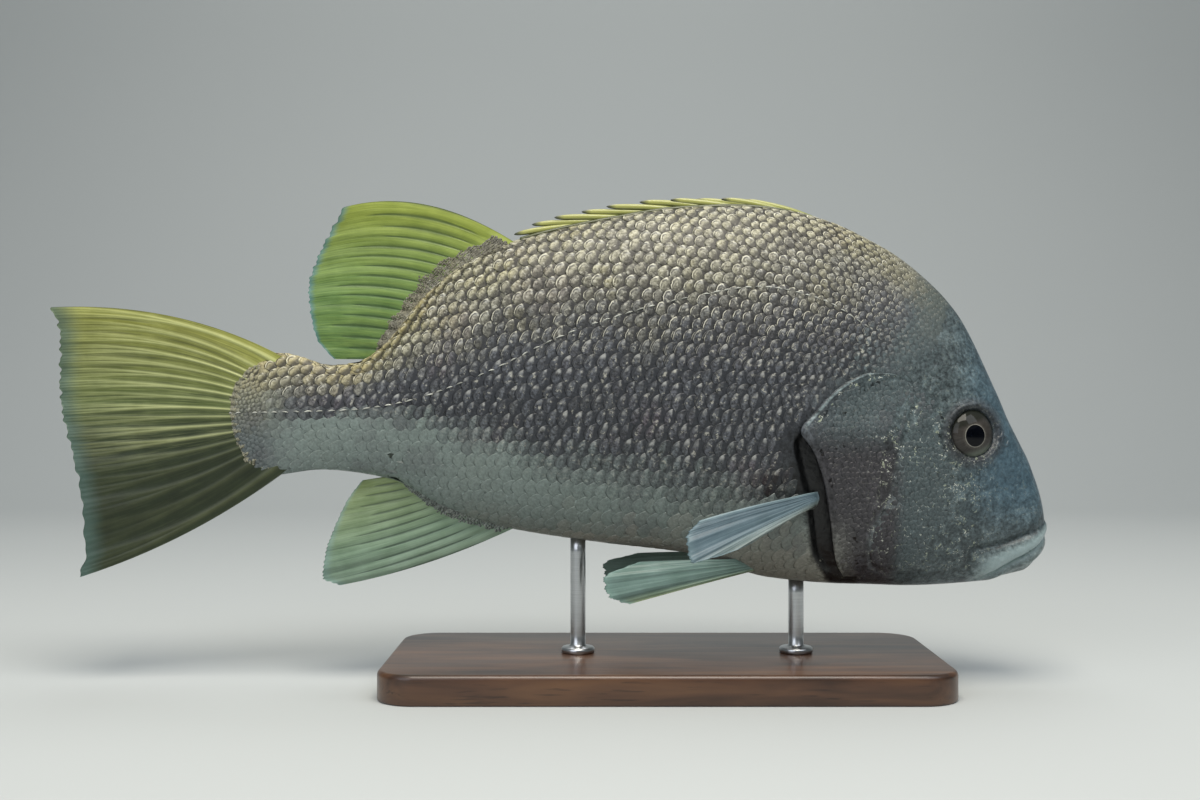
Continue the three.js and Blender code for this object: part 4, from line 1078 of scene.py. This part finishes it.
HEAD_COAT_X = (206, 96)


def chosen(places, kept):
    """The places that are kept."""
    return [value[kept] for value in places]


def add_scales(side, side_name, large_material, small_material):
    """The coats of one side: large scales on trunk and tail, which grow small and flat up the nape, small
    ones at the tail's end, and flat ones on the cheek and the gill cover."""
    def rooted(*lattice):
        """A lattice's places, with their x and z on the skin."""
        places = scale_lattice(*lattice)
        x, above = places[:2]
        return places, x, skin(x, turn_of_share(x, share_above(x, above)), side)[0][:, 2]

    places, x, z = rooted(COAT_FRONT_X, TAIL_END_X + 1, trunk_pitch, trunk_row_up, trunk_row_down, side)
    across, down = cover_place(x, z)
    front_x = front_of_scales(z)
    hidden = (across > -0.02) & (across < 1.04) & (down > 0.004) & (z < 129)
    membrane = (x + 0.62 * places[2] > gill_rear_x(z) - 2) & (z < 116)
    kept = (x < front_x) & (x > TAIL_BASE_X) & ~hidden & ~membrane
    x, z = x[kept], z[kept]
    fading = (1 - smooth((x - 124) / 38)) * smooth((front_x[kept] - x + 2) / 26)
    height = (0.12 + 0.16 * net_contrast(x, z) + 0.40 * roundness_of(x, z)) * (0.25 + 0.75 * fading)
    scale_coat(
        f"trunk_scales_{side_name}", chosen(places, kept), side, large_material, LARGE_SCALE,
        height=height, net=0.12 + 0.88 * fading, shine=0.3 + 0.7 * fading,
    )

    places = scale_lattice(TAIL_BASE_X + 2, TAIL_END_X + 0.5, end_size, end_size, end_size, side, 0.14)
    scale_coat(
        f"tail_end_scales_{side_name}", places, side, small_material, SMALL_SCALE, height=0.8
    )

    places, x, z = rooted(*HEAD_COAT_X, small_size, small_size, small_size, side, 0.24)
    across, down = cover_place(x, z)
    dense = coverage(x, z)
    bare_line = distance_to_line(x, z, groove_line) < 2.2
    off_edge = distance_to_line(x, z, cover_rear_line) > 2.8
    on_cover = (across > 0.26) & (across < 1) & (down > 0.03) & (down < 0.95) & (z < 127) & off_edge
    cheek = (x > 120) & ((across <= 0.26) | (down <= 0.012)) & (z < 131) & ~bare_line
    cheek = cheek & (dense > draw.random(len(x)) * 0.8 + 0.08)
    scale_coat(
        f"head_scales_{side_name}", chosen(places, cheek), side, small_material, FLAT_SCALE,
        height=0.08 + 0.14 * dense[cheek], net=0.12, shine=0.3, blur=0.5,
    )
    scale_coat(
        f"gill_cover_scales_{side_name}", chosen(places, on_cover & ~bare_line), side, small_material,
        FLAT_SCALE, height=0.15, height_of=cover_relief, net=0.12, shine=0.35, blur=0.5,
    )


def add_lateral_line(side, side_name, material):
    """The lateral line's pored scales: a row of short low tubes, one to a scale, each half a spindle."""
    x = [148]
    while x[-1] > -132:
        x.append(x[-1] - trunk_pitch(x[-1]) * 0.98)
    x = np.array(x)
    length = trunk_pitch(x) * draw.uniform(0.55, 0.85, len(x))
    rows, columns = 6, 5
    a, b = np.meshgrid(np.linspace(0, 1, rows), np.linspace(-1, 1, columns), indexing="ij")
    a, b = a.ravel(), b.ravel()
    spindle = np.sin(math.pi * (0.04 + 0.92 * a))
    at_x = x[:, None] + (0.5 - a) * length[:, None]
    tip = draw.normal(0, 0.25, len(x))[:, None] * (a - 0.5)
    at_z = lateral_line(at_x) + b * spindle * 0.36 + tip + 0.25 * spindle
    lift = 0.18 + 0.42 * spindle * np.sqrt(np.clip(1 - b**2, 0, 1)) * np.ones_like(at_x)
    kept = (at_x.max(axis=1) < 132) & (draw.random(len(x)) < 0.86)
    corners, _ = skin_beside(at_x[kept], at_z[kept], side, lift[kept])
    faces = scale_faces(kept.sum(), range(rows), columns)
    add_piece(f"lateral_line_{side_name}", corners.reshape(-1, 3), faces, material)


# Gill covers

COVER_THICKNESS = 1.4


def add_gill_cover(side, side_name, material):
    """A gill cover as a closed plate, ruled between its front and rear lines: each ring runs out over its
    outer face, round the rolled lip and back underneath."""
    outer, inner = np.linspace(0, 1, 60), np.linspace(1, 0, 20)
    lip = np.linspace(0, math.pi, 9)[1:-1]
    across = np.concatenate([outer, 1 + 0.02 * np.sin(lip), inner])
    sink = np.concatenate([0 * outer, (1 - np.cos(lip)) / 2, 0 * inner + 1])
    across, sink, down = np.broadcast_arrays(across, sink, np.linspace(0, 1, 150)[:, None])
    x, z = (front * (1 - across) + rear * across for front, rear in zip(*cover_ends(down)))
    lift = cover_height(np.minimum(across, 1), down, x, z) - COVER_THICKNESS * sink
    rings, _ = skin_beside(x, z, side, lift, lambda x, z: 0)
    corners, faces = loft(rings)
    fields = markings_and_painted_light(corners)
    # The plate's underside and the inner half of its rolled lip are painted in the gill skin's black, as
    # shade under the cover.
    fields["zones_c"][:, 1] = smooth((np.append(sink, [1, 1]) - 0.4) / 0.4)
    made = add_piece(f"gill_cover_plate_{side_name}", corners, faces, material, fields)
    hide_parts(f"gill_cover_{side_name}")


# Eyes and nostrils

PUPIL_BACK, PUPIL_DOWN = 0.9, 1.3


def add_eye(side, side_name, material, skin_material):
    """An eye as a flattened ball on the skin's normal, and the skin's ring round it: a rolled band that
    hugs the ball and runs out into the head."""
    turn = turn_at(EYE_X, EYE_Z)
    _, normal = skin(EYE_X, turn, side)
    ahead = unit(np.cross(normal, [0, 0, 1.0]) * side)
    upwards = np.cross(ahead, normal) * side
    middle = body_point(EYE_X, turn, side) - normal * EYE_SUNK
    polar = np.linspace(0.004, math.pi - 0.004, 60)[:, None]
    angle = circle(96)
    out = np.sin(polar) * EYE_RADIUS
    across = (out * np.cos(angle))[..., None] * ahead
    rise = (out * np.sin(angle))[..., None] * upwards
    depth = (np.cos(polar) * EYE_DEPTH)[..., None] * normal
    corners, faces = loft(middle + across + rise + depth)
    centred = corners - middle
    pupil_along, pupil_up = centred @ ahead + PUPIL_BACK, centred @ upwards + PUPIL_DOWN
    fields = {
        "radius": np.hypot(pupil_along * 1.04, pupil_up) / EYE_RADIUS,
        "height": (pupil_up - 0.35 * pupil_along) / EYE_RADIUS,
        "angle": np.arctan2(pupil_up, pupil_along),
    }
    eye = add_piece(f"eyeball_{side_name}", corners, faces, material, fields)
    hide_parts(f"eye_{side_name}")

    profile = [
        (14.6, -0.35), (13.2, 0.0), (12.2, 0.35), (11.4, 0.5), (10.7, 0.38), (10.1, -0.05), (9.6, -0.55),
        (9.2, -1.1), (10.2, -3.2), (12.5, -3.4), (14.4, -2.0),
    ]
    angle = circle(120)[:, None]
    rho, lift = np.array(profile).T
    x = EYE_X + rho * np.cos(angle)
    z = EYE_Z + rho * np.sin(angle)
    here = body_point(x, turn_at(x, z), side)
    _, out_normal = skin_beside(x, z, side)
    upper_lid = 0.5 * smooth(np.sin(angle) * 1.4)
    corners = (here + out_normal * (lift + upper_lid * (rho < 12.5))[..., None]).reshape(-1, 3)
    faces = [grid_faces(len(angle) + 1, len(profile), closed=True) % len(corners)]
    fields = markings_and_painted_light(corners)
    add_piece(f"orbit_ring_{side_name}", corners, faces, skin_material, fields)


NOSTRILS = ((187.4, 101.6, 1.3), (184.4, 105.2, 1.7))       # x, z and radius of each


def add_nostrils(side, side_name, material):
    """The two nostrils of a side: small pits with a rolled rim, each a ring of the profile that closes
    below the skin, painted black inside as shade."""
    profile = ((2.0, -0.5), (1.6, 0.1), (1.2, 0.5), (0.85, 0.25), (0.6, -0.7), (0.1, -1.1))
    rho, lift = np.array(profile).T[..., None]
    angle = circle(24)
    for number, (at_x, at_z, radius) in enumerate(NOSTRILS, 1):
        x = at_x + radius * rho * np.cos(angle)
        z = at_z + radius * rho * 1.25 * np.sin(angle)
        rings, _ = skin_beside(x, z, side, lift)
        corners, faces = loft(rings)
        fields = markings_and_painted_light(corners)
        # Painted shade, black, down inside each pit.
        pit_shade = np.append(np.repeat(smooth((0.9 - rho) / 0.4), len(angle)), [0, 1])
        fields["zones_c"][:, 1] = np.maximum(fields["zones_c"][:, 1], pit_shade)
        add_piece(f"nostril_{number}_{side_name}", corners, faces, material, fields)


# Fins

MEMBRANE_THICKNESS, LEAST_THICKNESS = 0.5, 0.25


class Fin:
    """A fin as a closed sheet: rays run from a root line to a tip line, both over a share across the fin,
    bowed by a bulge and swayed sideways, with ridges where the rays are and a thick foot."""

    # Lengths are in mm, sheath_share a share of the rays' length, scallop how far the margin draws in
    # between rays, and ray_width a share of the distance between rays.
    normal, sway, ridge, sheath, sheath_share, scallop = (0, 1, 0), (0, 0), 0.7, 0, 0.2, 0.012
    spines, rows, ray_width, gaps, columns_per_ray = 0, 64, 0.2, 0.0, 12

    def __init__(self, root, tip, rays, bulge, **shape):
        self.root, self.tip, self.rays, self.bulge = root, tip, rays, bulge
        for name, value in shape.items():
            setattr(self, name, value)
        self.normal = np.array(self.normal, float)

    def ray_height(self, share, run):
        """The rays' height from 0 to 1: a round ridge at each ray, stronger at some than at others, which
        forks twice on its way out where the ray is soft, and fades there."""
        number = np.floor(share * self.rays)
        offset = share * self.rays - number - 0.5
        soft = number >= self.spines
        first = 0.22 * smooth((run - 0.30) / 0.6) * soft
        second = 0.11 * smooth((run - 0.55) / 0.45) * soft
        width = self.ray_width * (1 - 0.5 * run) * np.where(soft, 1, 1.35)
        branches = [one * first + two * second for one in (-1, 1) for two in (-1, 1)]
        ridges = [np.exp(-(((offset - branch) / width) ** 2)) for branch in branches]
        return np.maximum.reduce(ridges) * (0.8 + 0.2 * np.sin(number * 2.4 + 1))

    def gap_depth(self, share, run):
        """The dark gaps between the rays, each a narrow spindle that opens near the foot and closes where
        the rays have forked."""
        number = np.round(share * self.rays)
        offset = np.abs(share * self.rays - number)
        length = 0.62 + 0.1 * np.sin(number * 1.7)
        spindle = np.sin(math.pi * np.clip((run - 0.13) / length, 0, 1))
        return self.gaps * bump(offset, 0.04 + 0.17 * spindle) * smooth(spindle * 3)

    def place(self, share, run, face):
        """A point of the sheet's right (face -1) or left (face 1) side."""
        root, tip = self.root(share), self.tip(share)
        between = 0.5 - 0.5 * np.cos(2 * math.pi * share * self.rays)
        ragged = 0.004 * np.sin(share * 71 + 1) + 0.004 * np.sin(share * 163)
        reach = run * (1 - self.scallop * (1 - between) + ragged)
        point = root + (tip - root) * reach[..., None]
        point = point + self.bulge(share) * (4 * run * (1 - run))[..., None]
        amount, waves = self.sway
        ripple = 0.25 * run * np.sin(2 * math.pi * share * self.rays / 2 + 3 * run)
        aside = amount * run**2 * np.sin(waves * math.pi * share + 0.6) + ripple
        height = self.ray_height(share, run) - 0.8 * self.gap_depth(share, run)
        strength = np.where(share * self.rays < self.spines, 1.6, 1)
        thick = MEMBRANE_THICKNESS * (1 - 0.5 * run)
        thick = thick + self.ridge * (0.5 + strength * height) * (1 - 0.72 * run)
        thick = np.maximum(thick, LEAST_THICKNESS) + self.sheath * (1 - smooth(run / self.sheath_share))
        return point + self.normal * (aside + face * thick / 2)[..., None]

    def add(self, name, material, slot, node):
        """The fin's mesh: a grid on each face and a strip round the edge between them."""
        columns = self.rays * self.columns_per_ray + 1
        share, run = np.meshgrid(np.linspace(0, 1, columns), np.linspace(0, 1, self.rows), indexing="ij")
        corners = np.concatenate([self.place(share, run, face).reshape(-1, 3) for face in (1, -1)])
        one = grid_faces(columns, self.rows)
        other = one[:, ::-1] + columns * self.rows
        index = np.arange(columns * self.rows).reshape(columns, self.rows)
        rim = np.concatenate([index[:, 0], index[-1, 1:], index[-2::-1, -1], index[0, -2:0:-1]])
        onward = np.roll(rim, -1)
        strip = np.stack([onward, rim, rim + columns * self.rows, onward + columns * self.rows], axis=-1)
        fields = {
            "share": share, "run": run, "ray": self.ray_height(share, run), "gap": self.gap_depth(share, run)
        }
        fields = {field: np.tile(values.ravel(), 2) for field, values in fields.items()}
        made = add_piece(name, corners, [one, other, strip], material, fields)
        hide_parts(node)


def add_fin_scales(name, fin, material, run_limit, rows, per_row, size, marking, net=0.45):
    """Small scales on the foot of an upright fin, on both faces, in staggered rows that follow its root and
    end in a ragged line. The marking is how far flank, cream and gold cover them."""
    i, j = np.meshgrid(np.arange(rows), np.arange(per_row), indexing="ij")
    share = ((j + 0.5 * (i % 2) + 0.25) / per_row).ravel()
    run = (run_limit * (i + 0.3) / rows).ravel()
    share = share + draw.normal(0, 0.12 / per_row, len(share))
    run = run + draw.normal(0, 0.12 * run_limit / rows, len(run))
    ragged = 0.85 + 0.05 * np.sin(share * 3.0 * fin.rays) + 0.03 * draw.normal(0, 1, len(share))
    ragged = run_limit * ragged * (0.45 + 0.55 * smooth(share / 0.4))
    kept = (share > 0.03) & (share < 0.96) & (run < ragged)
    share, run = share[kept], run[kept]
    count = len(share)
    a, b, lift = scale_template(*SMALL_SCALE)
    corners, all_uv = [], []
    for face in (1, -1):
        here = fin.place(share, run, face)[:, None, :]
        onward = unit(fin.place(share, run + 0.02, face)[:, None, :] - here)
        across = unit(np.cross(fin.normal, onward))
        shrink = (size * (1 - 0.5 * run / run_limit) * draw.normal(1, 0.08, count))[:, None]
        points = here + ((a - 0.45) * shrink * 1.45)[..., None] * onward
        points = points + (b * shrink * 0.8)[..., None] * across
        points = points + face * fin.normal * (0.14 * shrink * lift + 0.05)[..., None]
        corners.append(points.reshape(-1, 3))
        roots = np.stack([share * 0.45 + (0.02 if face > 0 else 0.52), run], axis=-1)
        all_uv.append(bake_patches(roots, a, b))
    fields = {key: np.zeros((2 * count * a.size, 4)) for key in ("zones_a", "zones_b", "zones_c")}
    fields["zones_a"][:, :3] = marking
    lot = np.repeat(draw.random(2 * count), a.size)
    place = np.tile(np.stack([a - 0.62, b * 0.6], axis=-1), (2 * count, 1))
    fields["cell"] = np.column_stack([place, lot, np.full(len(lot), net)])
    fields["shine"] = np.full(len(lot), 0.3)
    one = scale_faces(count, *SMALL_SCALE)
    other = [block[:, ::-1] + count * a.size for block in one]
    faces = [np.concatenate(pair) for pair in zip(one, other)]
    add_piece(name, np.concatenate(corners), faces, material, fields, np.concatenate(all_uv))


def steady(*vector):
    """The same bulge over the whole fin."""
    return lambda share: np.broadcast_to(np.array(vector, float), share.shape + (3,))


def fading(*vector):
    """A bulge that is full at the fin's front ray and gone at its last."""
    return lambda share: np.array(vector, float) * (1 - share)[..., None]


def changing(first, last):
    """A bulge that passes from one at the fin's front ray to another at its last."""
    return lambda share: np.array(first) * (1 - share)[..., None] + np.array(last) * share[..., None]


TAIL_FIN = Fin(
    root=middle_line([(0, -108, 134), (0.12, -124, 130), (0.5, -130, 114), (0.88, -124, 96), (1, -108, 91)]),
    tip=middle_line([
        (0, -211.7, 157.8), (0.12, -208.4, 147), (0.35, -208.6, 127), (0.5, -207.2, 114), (0.65, -203, 100),
        (0.85, -196.4, 72), (0.95, -195, 52), (1, -197.3, 43.8),
    ]),
    rays=17, bulge=changing((3.2, 0, 7.2), (1.5, 0, -4.2)), sway=(5, 1.1), ridge=1.0, sheath=2.0,
    sheath_share=0.35, rows=110, ray_width=0.17, columns_per_ray=20, scallop=0.006,
)
SOFT_DORSAL_FIN = Fin(
    root=middle_line([(0, -13.5, 184), (0.3, -31, 172), (0.62, -50, 156), (1, -70.4, 135.5)]),
    tip=middle_line([
        (0, -87, 200), (0.12, -93, 189.5), (0.3, -98.6, 178), (0.5, -101.8, 166.4), (0.7, -100.6, 155.5),
        (0.88, -97.6, 144), (1, -90.5, 135.6),
    ]),
    rays=15, bulge=fading(-0.6, 0, 8.6), sway=(2.5, 1.4), ridge=0.8, sheath=3.2, sheath_share=0.16, rows=90,
    scallop=0.004, ray_width=0.34, gaps=0.8, columns_per_ray=18,
)
ANAL_FIN = Fin(
    root=middle_line([(0, -15, 64.5), (0.35, -35, 71.5), (0.7, -51, 79), (1, -64, 87)]),
    tip=middle_line([
        (0, -88, 40.4), (0.14, -95.4, 43.6), (0.35, -94.2, 54), (0.6, -90.6, 65), (0.82, -85, 77),
        (1, -79.4, 84.4),
    ]),
    rays=11, bulge=fading(0.4, 0, -2.6), sway=(-2.5, 1.3), ridge=0.8, sheath=3.0, sheath_share=0.18, rows=80,
    scallop=0.006, spines=3, ray_width=0.36, gaps=0.7, columns_per_ray=18,
)
# The root and tip lines of the paired fins, as (share, x, y, z) with y counted outwards.
PECTORAL_LINES = (
    ((0, 108.5, 27, 80.8), (0.5, 109.2, 27, 78), (1, 108.5, 26, 75.2)),
    ((0, 60, 47, 71.5), (0.3, 54.6, 52, 65), (0.55, 56.5, 55, 55.8), (0.8, 73.5, 50, 60), (1, 89, 42, 67)),
)
PELVIC_LINES = (
    ((0, 92, 8, 49), (0.5, 87, 10.5, 50.5), (1, 82, 12, 52.5)),
    ((0, 33, 23, 35.4), (0.3, 24.5, 25, 39), (0.6, 22.5, 24, 46), (1, 37, 17, 52)),
)


def paired_fin(side, lines, lift, **shape):
    """A paired fin of one side, its normal square to its middle ray and its span, bowed along it."""
    mirrored = [[(share, x, side * y, z) for share, x, y, z in line] for line in lines]
    root, tip = (space_line(line) for line in mirrored)
    ends = np.array([0.0, 0.5, 1.0])
    along = (tip(ends) - root(ends))[1]
    across = tip(ends)[2] - tip(ends)[0]
    normal = unit(np.cross(across, along))
    return Fin(root=root, tip=tip, bulge=steady(*(normal * lift * side)), normal=normal, **shape)


# Folded dorsal spines

# The x of each folded spine's tip, and how high it stands over the back.
SPINE_TIPS = (
    (82, 2.4), (72.5, 2.6), (61.5, 2.9), (51, 3.4), (38, 4.4), (24, 5.0), (13.5, 4.9), (2, 4.9), (-7.5, 4.5),
    (-15, 2.6),
)
SPINE_LENGTH, SPINE_RADIUS = 30, 1.35
GROOVE_FRONT_X, GROOVE_REAR_X = 112, -12.4


def folded_spine(index):
    """Corners, faces, run and underside of one folded spine: a flattened blade from a sunk root to a short
    sharp tip that stands clear of the back."""
    tip_x, rise = SPINE_TIPS[index]
    lean = 0.5 if index % 2 == 0 else -0.5
    run, angle = np.broadcast_arrays(np.linspace(0, 1, 44)[:, None], circle(18))
    x = tip_x + SPINE_LENGTH * (1 - run)
    z = back_line(x) - 1.6 + (rise + 1.2) * run
    high = SPINE_RADIUS * np.sqrt(np.clip(1 - run**6, 0.002, 1))
    wide = SPINE_RADIUS * (1 - 0.85 * run**2.4)
    corners, faces = loft(to_points(x, lean * run + wide * np.cos(angle), z + high * np.sin(angle)))
    # The spine's underside, where shade is painted.
    under = smooth(-np.sin(angle) * 1.6 - 0.45)
    return corners, faces, np.append(run, [0, 1]), np.append(under, [0, 0])


def dorsal_groove():
    """The fleshy ridge that the spines fold into: round rings along the back, tapering to its front."""
    x = np.linspace(GROOVE_REAR_X, GROOVE_FRONT_X, 120)[:, None]
    taper = np.sqrt(np.clip((GROOVE_FRONT_X - x) / 20, 0.05, 1))
    angle = circle(20)
    return loft(to_points(x, 2.5 * taper * np.cos(angle), back_line(x) - 1.0 + 1.2 * taper * np.sin(angle)))


def add_spiny_dorsal(material):
    """The folded spines and their groove in one mesh."""
    parts = [folded_spine(index) for index in range(len(SPINE_TIPS))]
    corners, faces = dorsal_groove()
    # The groove is painted dark all over, as shade between the spines.
    parts.append((corners, faces, np.full(len(corners), 0.1), np.full(len(corners), 0.85)))
    blocks, offset = [], 0
    for corners, faces, _, _ in parts:
        blocks += [block + offset for block in faces]
        offset += len(corners)
    corners, _, run, under = zip(*parts)
    fields = {"run": np.concatenate(run), "under": np.concatenate(under)}
    made = add_piece(
        "folded_dorsal_spines", np.concatenate(corners), blocks, material, fields
    )
    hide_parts("dorsal_fin_spiny")


# Stand

BASE_LENGTH, BASE_WIDTH, BASE_THICKNESS = 230, 104, 12
BASE_CORNER = 16
ROD_RADIUS, ROD_SUNK = 3.2, 1.2
ROD_PLACES = ((104, "front"), (12, "rear"))


def add_base(material):
    """The base: rounded rectangles, drawn in at the bottom and top by the quarter circles of its edges."""
    inset = np.array([0.6, 0.15, 0, 0, 0.15, 0.45, 0.9, 1.4, 2.0])
    upper = BASE_THICKNESS - np.array([2, 1.3, 0.75, 0.3, 0.08, 0])
    z = np.concatenate([[0, 0.35, 0.8], upper])
    angle = circle(160)
    middle_x = np.sign(np.cos(angle)) * (BASE_LENGTH / 2 - BASE_CORNER)
    middle_y = np.sign(np.sin(angle)) * (BASE_WIDTH / 2 - BASE_CORNER)
    radius = (BASE_CORNER - inset)[:, None]
    x = BASE_MIDDLE_X + middle_x + radius * np.cos(angle)
    y = middle_y + radius * np.sin(angle)
    corners, faces = loft(to_points(x, y, z[:, None]))
    made = add_piece("wooden_base", corners, faces, material)
    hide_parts("stand_base")


def add_rods(material):
    """The two rods, each with a low turned collar on the base: a turned profile round the rod's axis."""
    for at_x, name in ROD_PLACES:
        top = belly_line(at_x) + ROD_SUNK
        foot = BASE_THICKNESS
        profile = np.array([
            (0.2, foot), (6.6, foot), (7.0, foot + 0.4), (7.0, foot + 1.8), (6.5, foot + 2.4),
            (4.0, foot + 2.7), (ROD_RADIUS, foot + 3.4), (ROD_RADIUS, foot + 8), (ROD_RADIUS, top - 6),
            (ROD_RADIUS, top), (0.2, top),
        ])
        radius, z = profile.T[..., None]
        angle = circle(48)
        corners, faces = loft(to_points(at_x + radius * np.cos(angle), radius * np.sin(angle), z))
        made = add_piece(f"steel_rod_{name}", corners, faces, material)
        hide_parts(f"stand_rod_{name}")


# Studio

FLOOR_GAP = 0.02         # the floor lies this far under the base, so that the two don't flicker


def add_backdrop(material):
    """Floor and backdrop in one: level round the stand, then up in a quarter circle on every side. Each
    ring is a rectangle with round corners, whose sides' places are fourth roots of a circle's."""
    bend, height, half_width, half_depth, middle_y, corners_round = 700, 1900, 3200, 2700, -1800, 96
    turn = np.linspace(0, math.pi / 2, 24)
    out = np.concatenate([[-2400, -1200], bend * np.sin(turn), np.full(4, bend)])[:, None]
    z = np.concatenate([[0, 0], bend * (1 - np.cos(turn)), np.linspace(bend + 200, height, 4)])[:, None]
    angle = circle(corners_round)
    to_x, to_y = (np.sign(part) * np.abs(part) ** 0.25 for part in (np.cos(angle), np.sin(angle)))
    rings = to_points((half_width + out) * to_x, middle_y + (half_depth + out) * to_y, z - FLOOR_GAP)
    walls = grid_faces(len(z), corners_round, closed=True)[:, ::-1]
    mesh = bpy.data.meshes.new("paper_sweep")
    faces = [list(range(corners_round)), *walls.tolist()]
    mesh.from_pydata((rings.reshape(-1, 3) * MM).tolist(), [], faces)
    mesh.shade_smooth()
    mesh.materials.append(material)
    sweep = bpy.data.objects.new("paper_sweep", mesh)
    bpy.context.scene.collection.objects.link(sweep)


def add_light(name, place, target, size, power, colour="#ffffff"):
    """A square soft light at a place in metres that looks at a target: turned down from straight below by
    the angle of its way there, then round the upright axis."""
    light = bpy.data.lights.new(name, "AREA")
    light.shape, light.size, light.energy = "SQUARE", size, power
    light.color = linear(colour)[:3]
    lamp = bpy.data.objects.new(name, light)
    bpy.context.scene.collection.objects.link(lamp)
    lamp.location = place
    x, y, z = (here - there for here, there in zip(place, target))
    lamp.rotation_euler = (math.atan2(math.hypot(x, y), z), 0, math.atan2(x, -y))


# The photograph is 1200 pixels wide, and at the fish's middle plane a pixel is 0.4221 mm.
CAMERA_DISTANCE = 600
MM_PER_PIXEL = 0.4221
IMAGE_WIDTH = 1200
VIEW_MIDDLE_X, VIEW_MIDDLE_Z = 21.3, 118.4


def add_camera():
    """The photograph's view, level and square to the fish's right side."""
    data = bpy.data.cameras.new("camera")
    data.sensor_width = 36
    data.lens = data.sensor_width * CAMERA_DISTANCE / (IMAGE_WIDTH * MM_PER_PIXEL)
    camera = bpy.data.objects.new("camera", data)
    bpy.context.scene.collection.objects.link(camera)
    camera.location = ((VIEW_MIDDLE_X + SHIFT_X) * MM, -CAMERA_DISTANCE * MM, VIEW_MIDDLE_Z * MM)
    camera.rotation_euler = (math.pi / 2, 0, 0)
    bpy.context.scene.camera = camera


def add_studio():
    """Paper sweep, a large key light overhead, a soft light behind the fish's back, fills from the camera's
    side and a soft sky."""
    add_backdrop(studio_paper())
    middle = (0.03, 0, 0.12)
    add_light("key", (0.06, -0.46, 1.15), middle, 0.7, 14, "#fff8ec")
    add_light("fill", (-0.8, -1.2, 0.8), middle, 1.1, 7, "#f1f5ff")
    add_light("front_fill", (0.75, -0.65, 1.1), middle, 0.7, 4, "#f4f7ff")
    add_light("sweep_light", (0.05, 0.7, 1.6), (0.05, 0.75, 0), 1.2, 8)
    world = bpy.data.worlds.new("soft_sky")
    bpy.context.scene.world = world
    world.use_nodes = True
    feed(world.node_tree.nodes["Background"], {"Color": "#dfe6ea", "Strength": 0.36})
    bpy.context.scene.view_settings.view_transform = "Standard"


# The whole model

add_camera()
add_studio()
bare = naked_skin()
large_scales = scaled_skin("large_overlapping_scales", 1.0)
small_scales = scaled_skin("small_close_set_scales", 0.9)
tubes = silvery_pores()
add_skin(bare)
for side, side_name in SIDES:
    add_scales(side, side_name, large_scales, small_scales)
    add_lateral_line(side, side_name, tubes)
    add_gill_cover(side, side_name, bare)
    add_nostrils(side, side_name, bare)
eye = eye_glass()
for side, side_name in SIDES:
    add_eye(side, side_name, eye, bare)

# The tail fin darkens downwards to its lower lobe, partly its own colour and partly painted shade; its pale
# rays are partly painted highlights.
tail_skin = fin_skin(
    "olive_yellow_tail_fin_skin",
    (
        (0.0, "#a3a44e"), (0.15, "#8c9046"), (0.45, "#66733c"), (0.66, "#2f3b1c"), (0.9, "#202b12"),
        (1.0, "#2a351a"),
    ),
    "#ced29c", "#2c3620", "#56706a", ray_share=1.0, streaks=0.45, margin_start=0.88, ray_end=0.62,
)
dorsal_skin = fin_skin(
    "yellow_dorsal_fin_skin",
    ((0.0, "#99a440"), (0.25, "#84994c"), (0.6, "#6c8e50"), (1.0, "#5a7c44")),
    "#aebb68", "#3a5230", "#5f8a92", ray_share=0.4, streaks=0.45, margin_start=0.94,
)
anal_skin = fin_skin(
    "pale_green_anal_fin_skin",
    ((0.0, "#879c8c"), (0.3, "#819a84"), (0.75, "#8a9c70"), (1.0, "#909e60")),
    "#a8baa2", "#3f5046", "#87a09a", ray_share=0.4, streaks=0.4,
)
pelvic_skin = fin_skin(
    "pale_grey_green_pelvic_fin_skin", ((0.0, "#8f9b78"), (0.2, "#7c958f"), (1.0, "#728b86")),
    "#8fa69f", "#4a605b", "#88a39d", ray_share=0.5, streaks=0.4,
)
pectoral_skin = fin_skin(
    "pale_blue_pectoral_fin_skin",
    (
        (0.0, "#9fb0b4"), (0.06, "#7d929b"), (0.16, "#566b78"), (0.5, "#6b808b"), (0.75, "#8f9c9b"),
        (1.0, "#8b8f88"),
    ),
    "#93a6ab", "#44555f", "#7f949c", ray_share=0.3, streaks=0.55,
)
TAIL_FIN.add("tail_fin_sheet", tail_skin, "yellow_fin", "tail_fin")
SOFT_DORSAL_FIN.add("soft_dorsal_fin_sheet", dorsal_skin, "yellow_fin", "dorsal_fin_soft")
ANAL_FIN.add("anal_fin_sheet", anal_skin, "pale_fin", "anal_fin")
for fin_name, fin, *scaling in (
    ("tail_fin", TAIL_FIN, 0.075, 7, 90, 1.2, (0.5, 0.4, 0.3), 0.4),
    ("soft_dorsal", SOFT_DORSAL_FIN, 0.26, 20, 78, 1.15, (0.9, 0.0, 0.32), 0.5),
    ("anal", ANAL_FIN, 0.14, 7, 56, 1.2, (0.1, 0.1, 0.0)),
):
    add_fin_scales(f"{fin_name}_foot_scales", fin, small_scales, *scaling)
for side, side_name in SIDES:
    pectoral = paired_fin(
        side, PECTORAL_LINES, 2.5, rays=13, ridge=0.35, sheath=2.2, sheath_share=0.3, scallop=0.006,
        rows=60,
    )
    pectoral.add(f"pectoral_fin_sheet_{side_name}", pectoral_skin, "pale_fin", f"pectoral_fin_{side_name}")
    pelvic = paired_fin(
        side, PELVIC_LINES, -1.5, rays=6, ridge=0.5, sheath=1.6, sheath_share=0.25, rows=60, spines=1
    )
    pelvic.add(f"pelvic_fin_sheet_{side_name}", pelvic_skin, "pale_fin", f"pelvic_fin_{side_name}")
add_spiny_dorsal(spine_horn())
add_base(stained_wood())
add_rods(brushed_rod_steel())
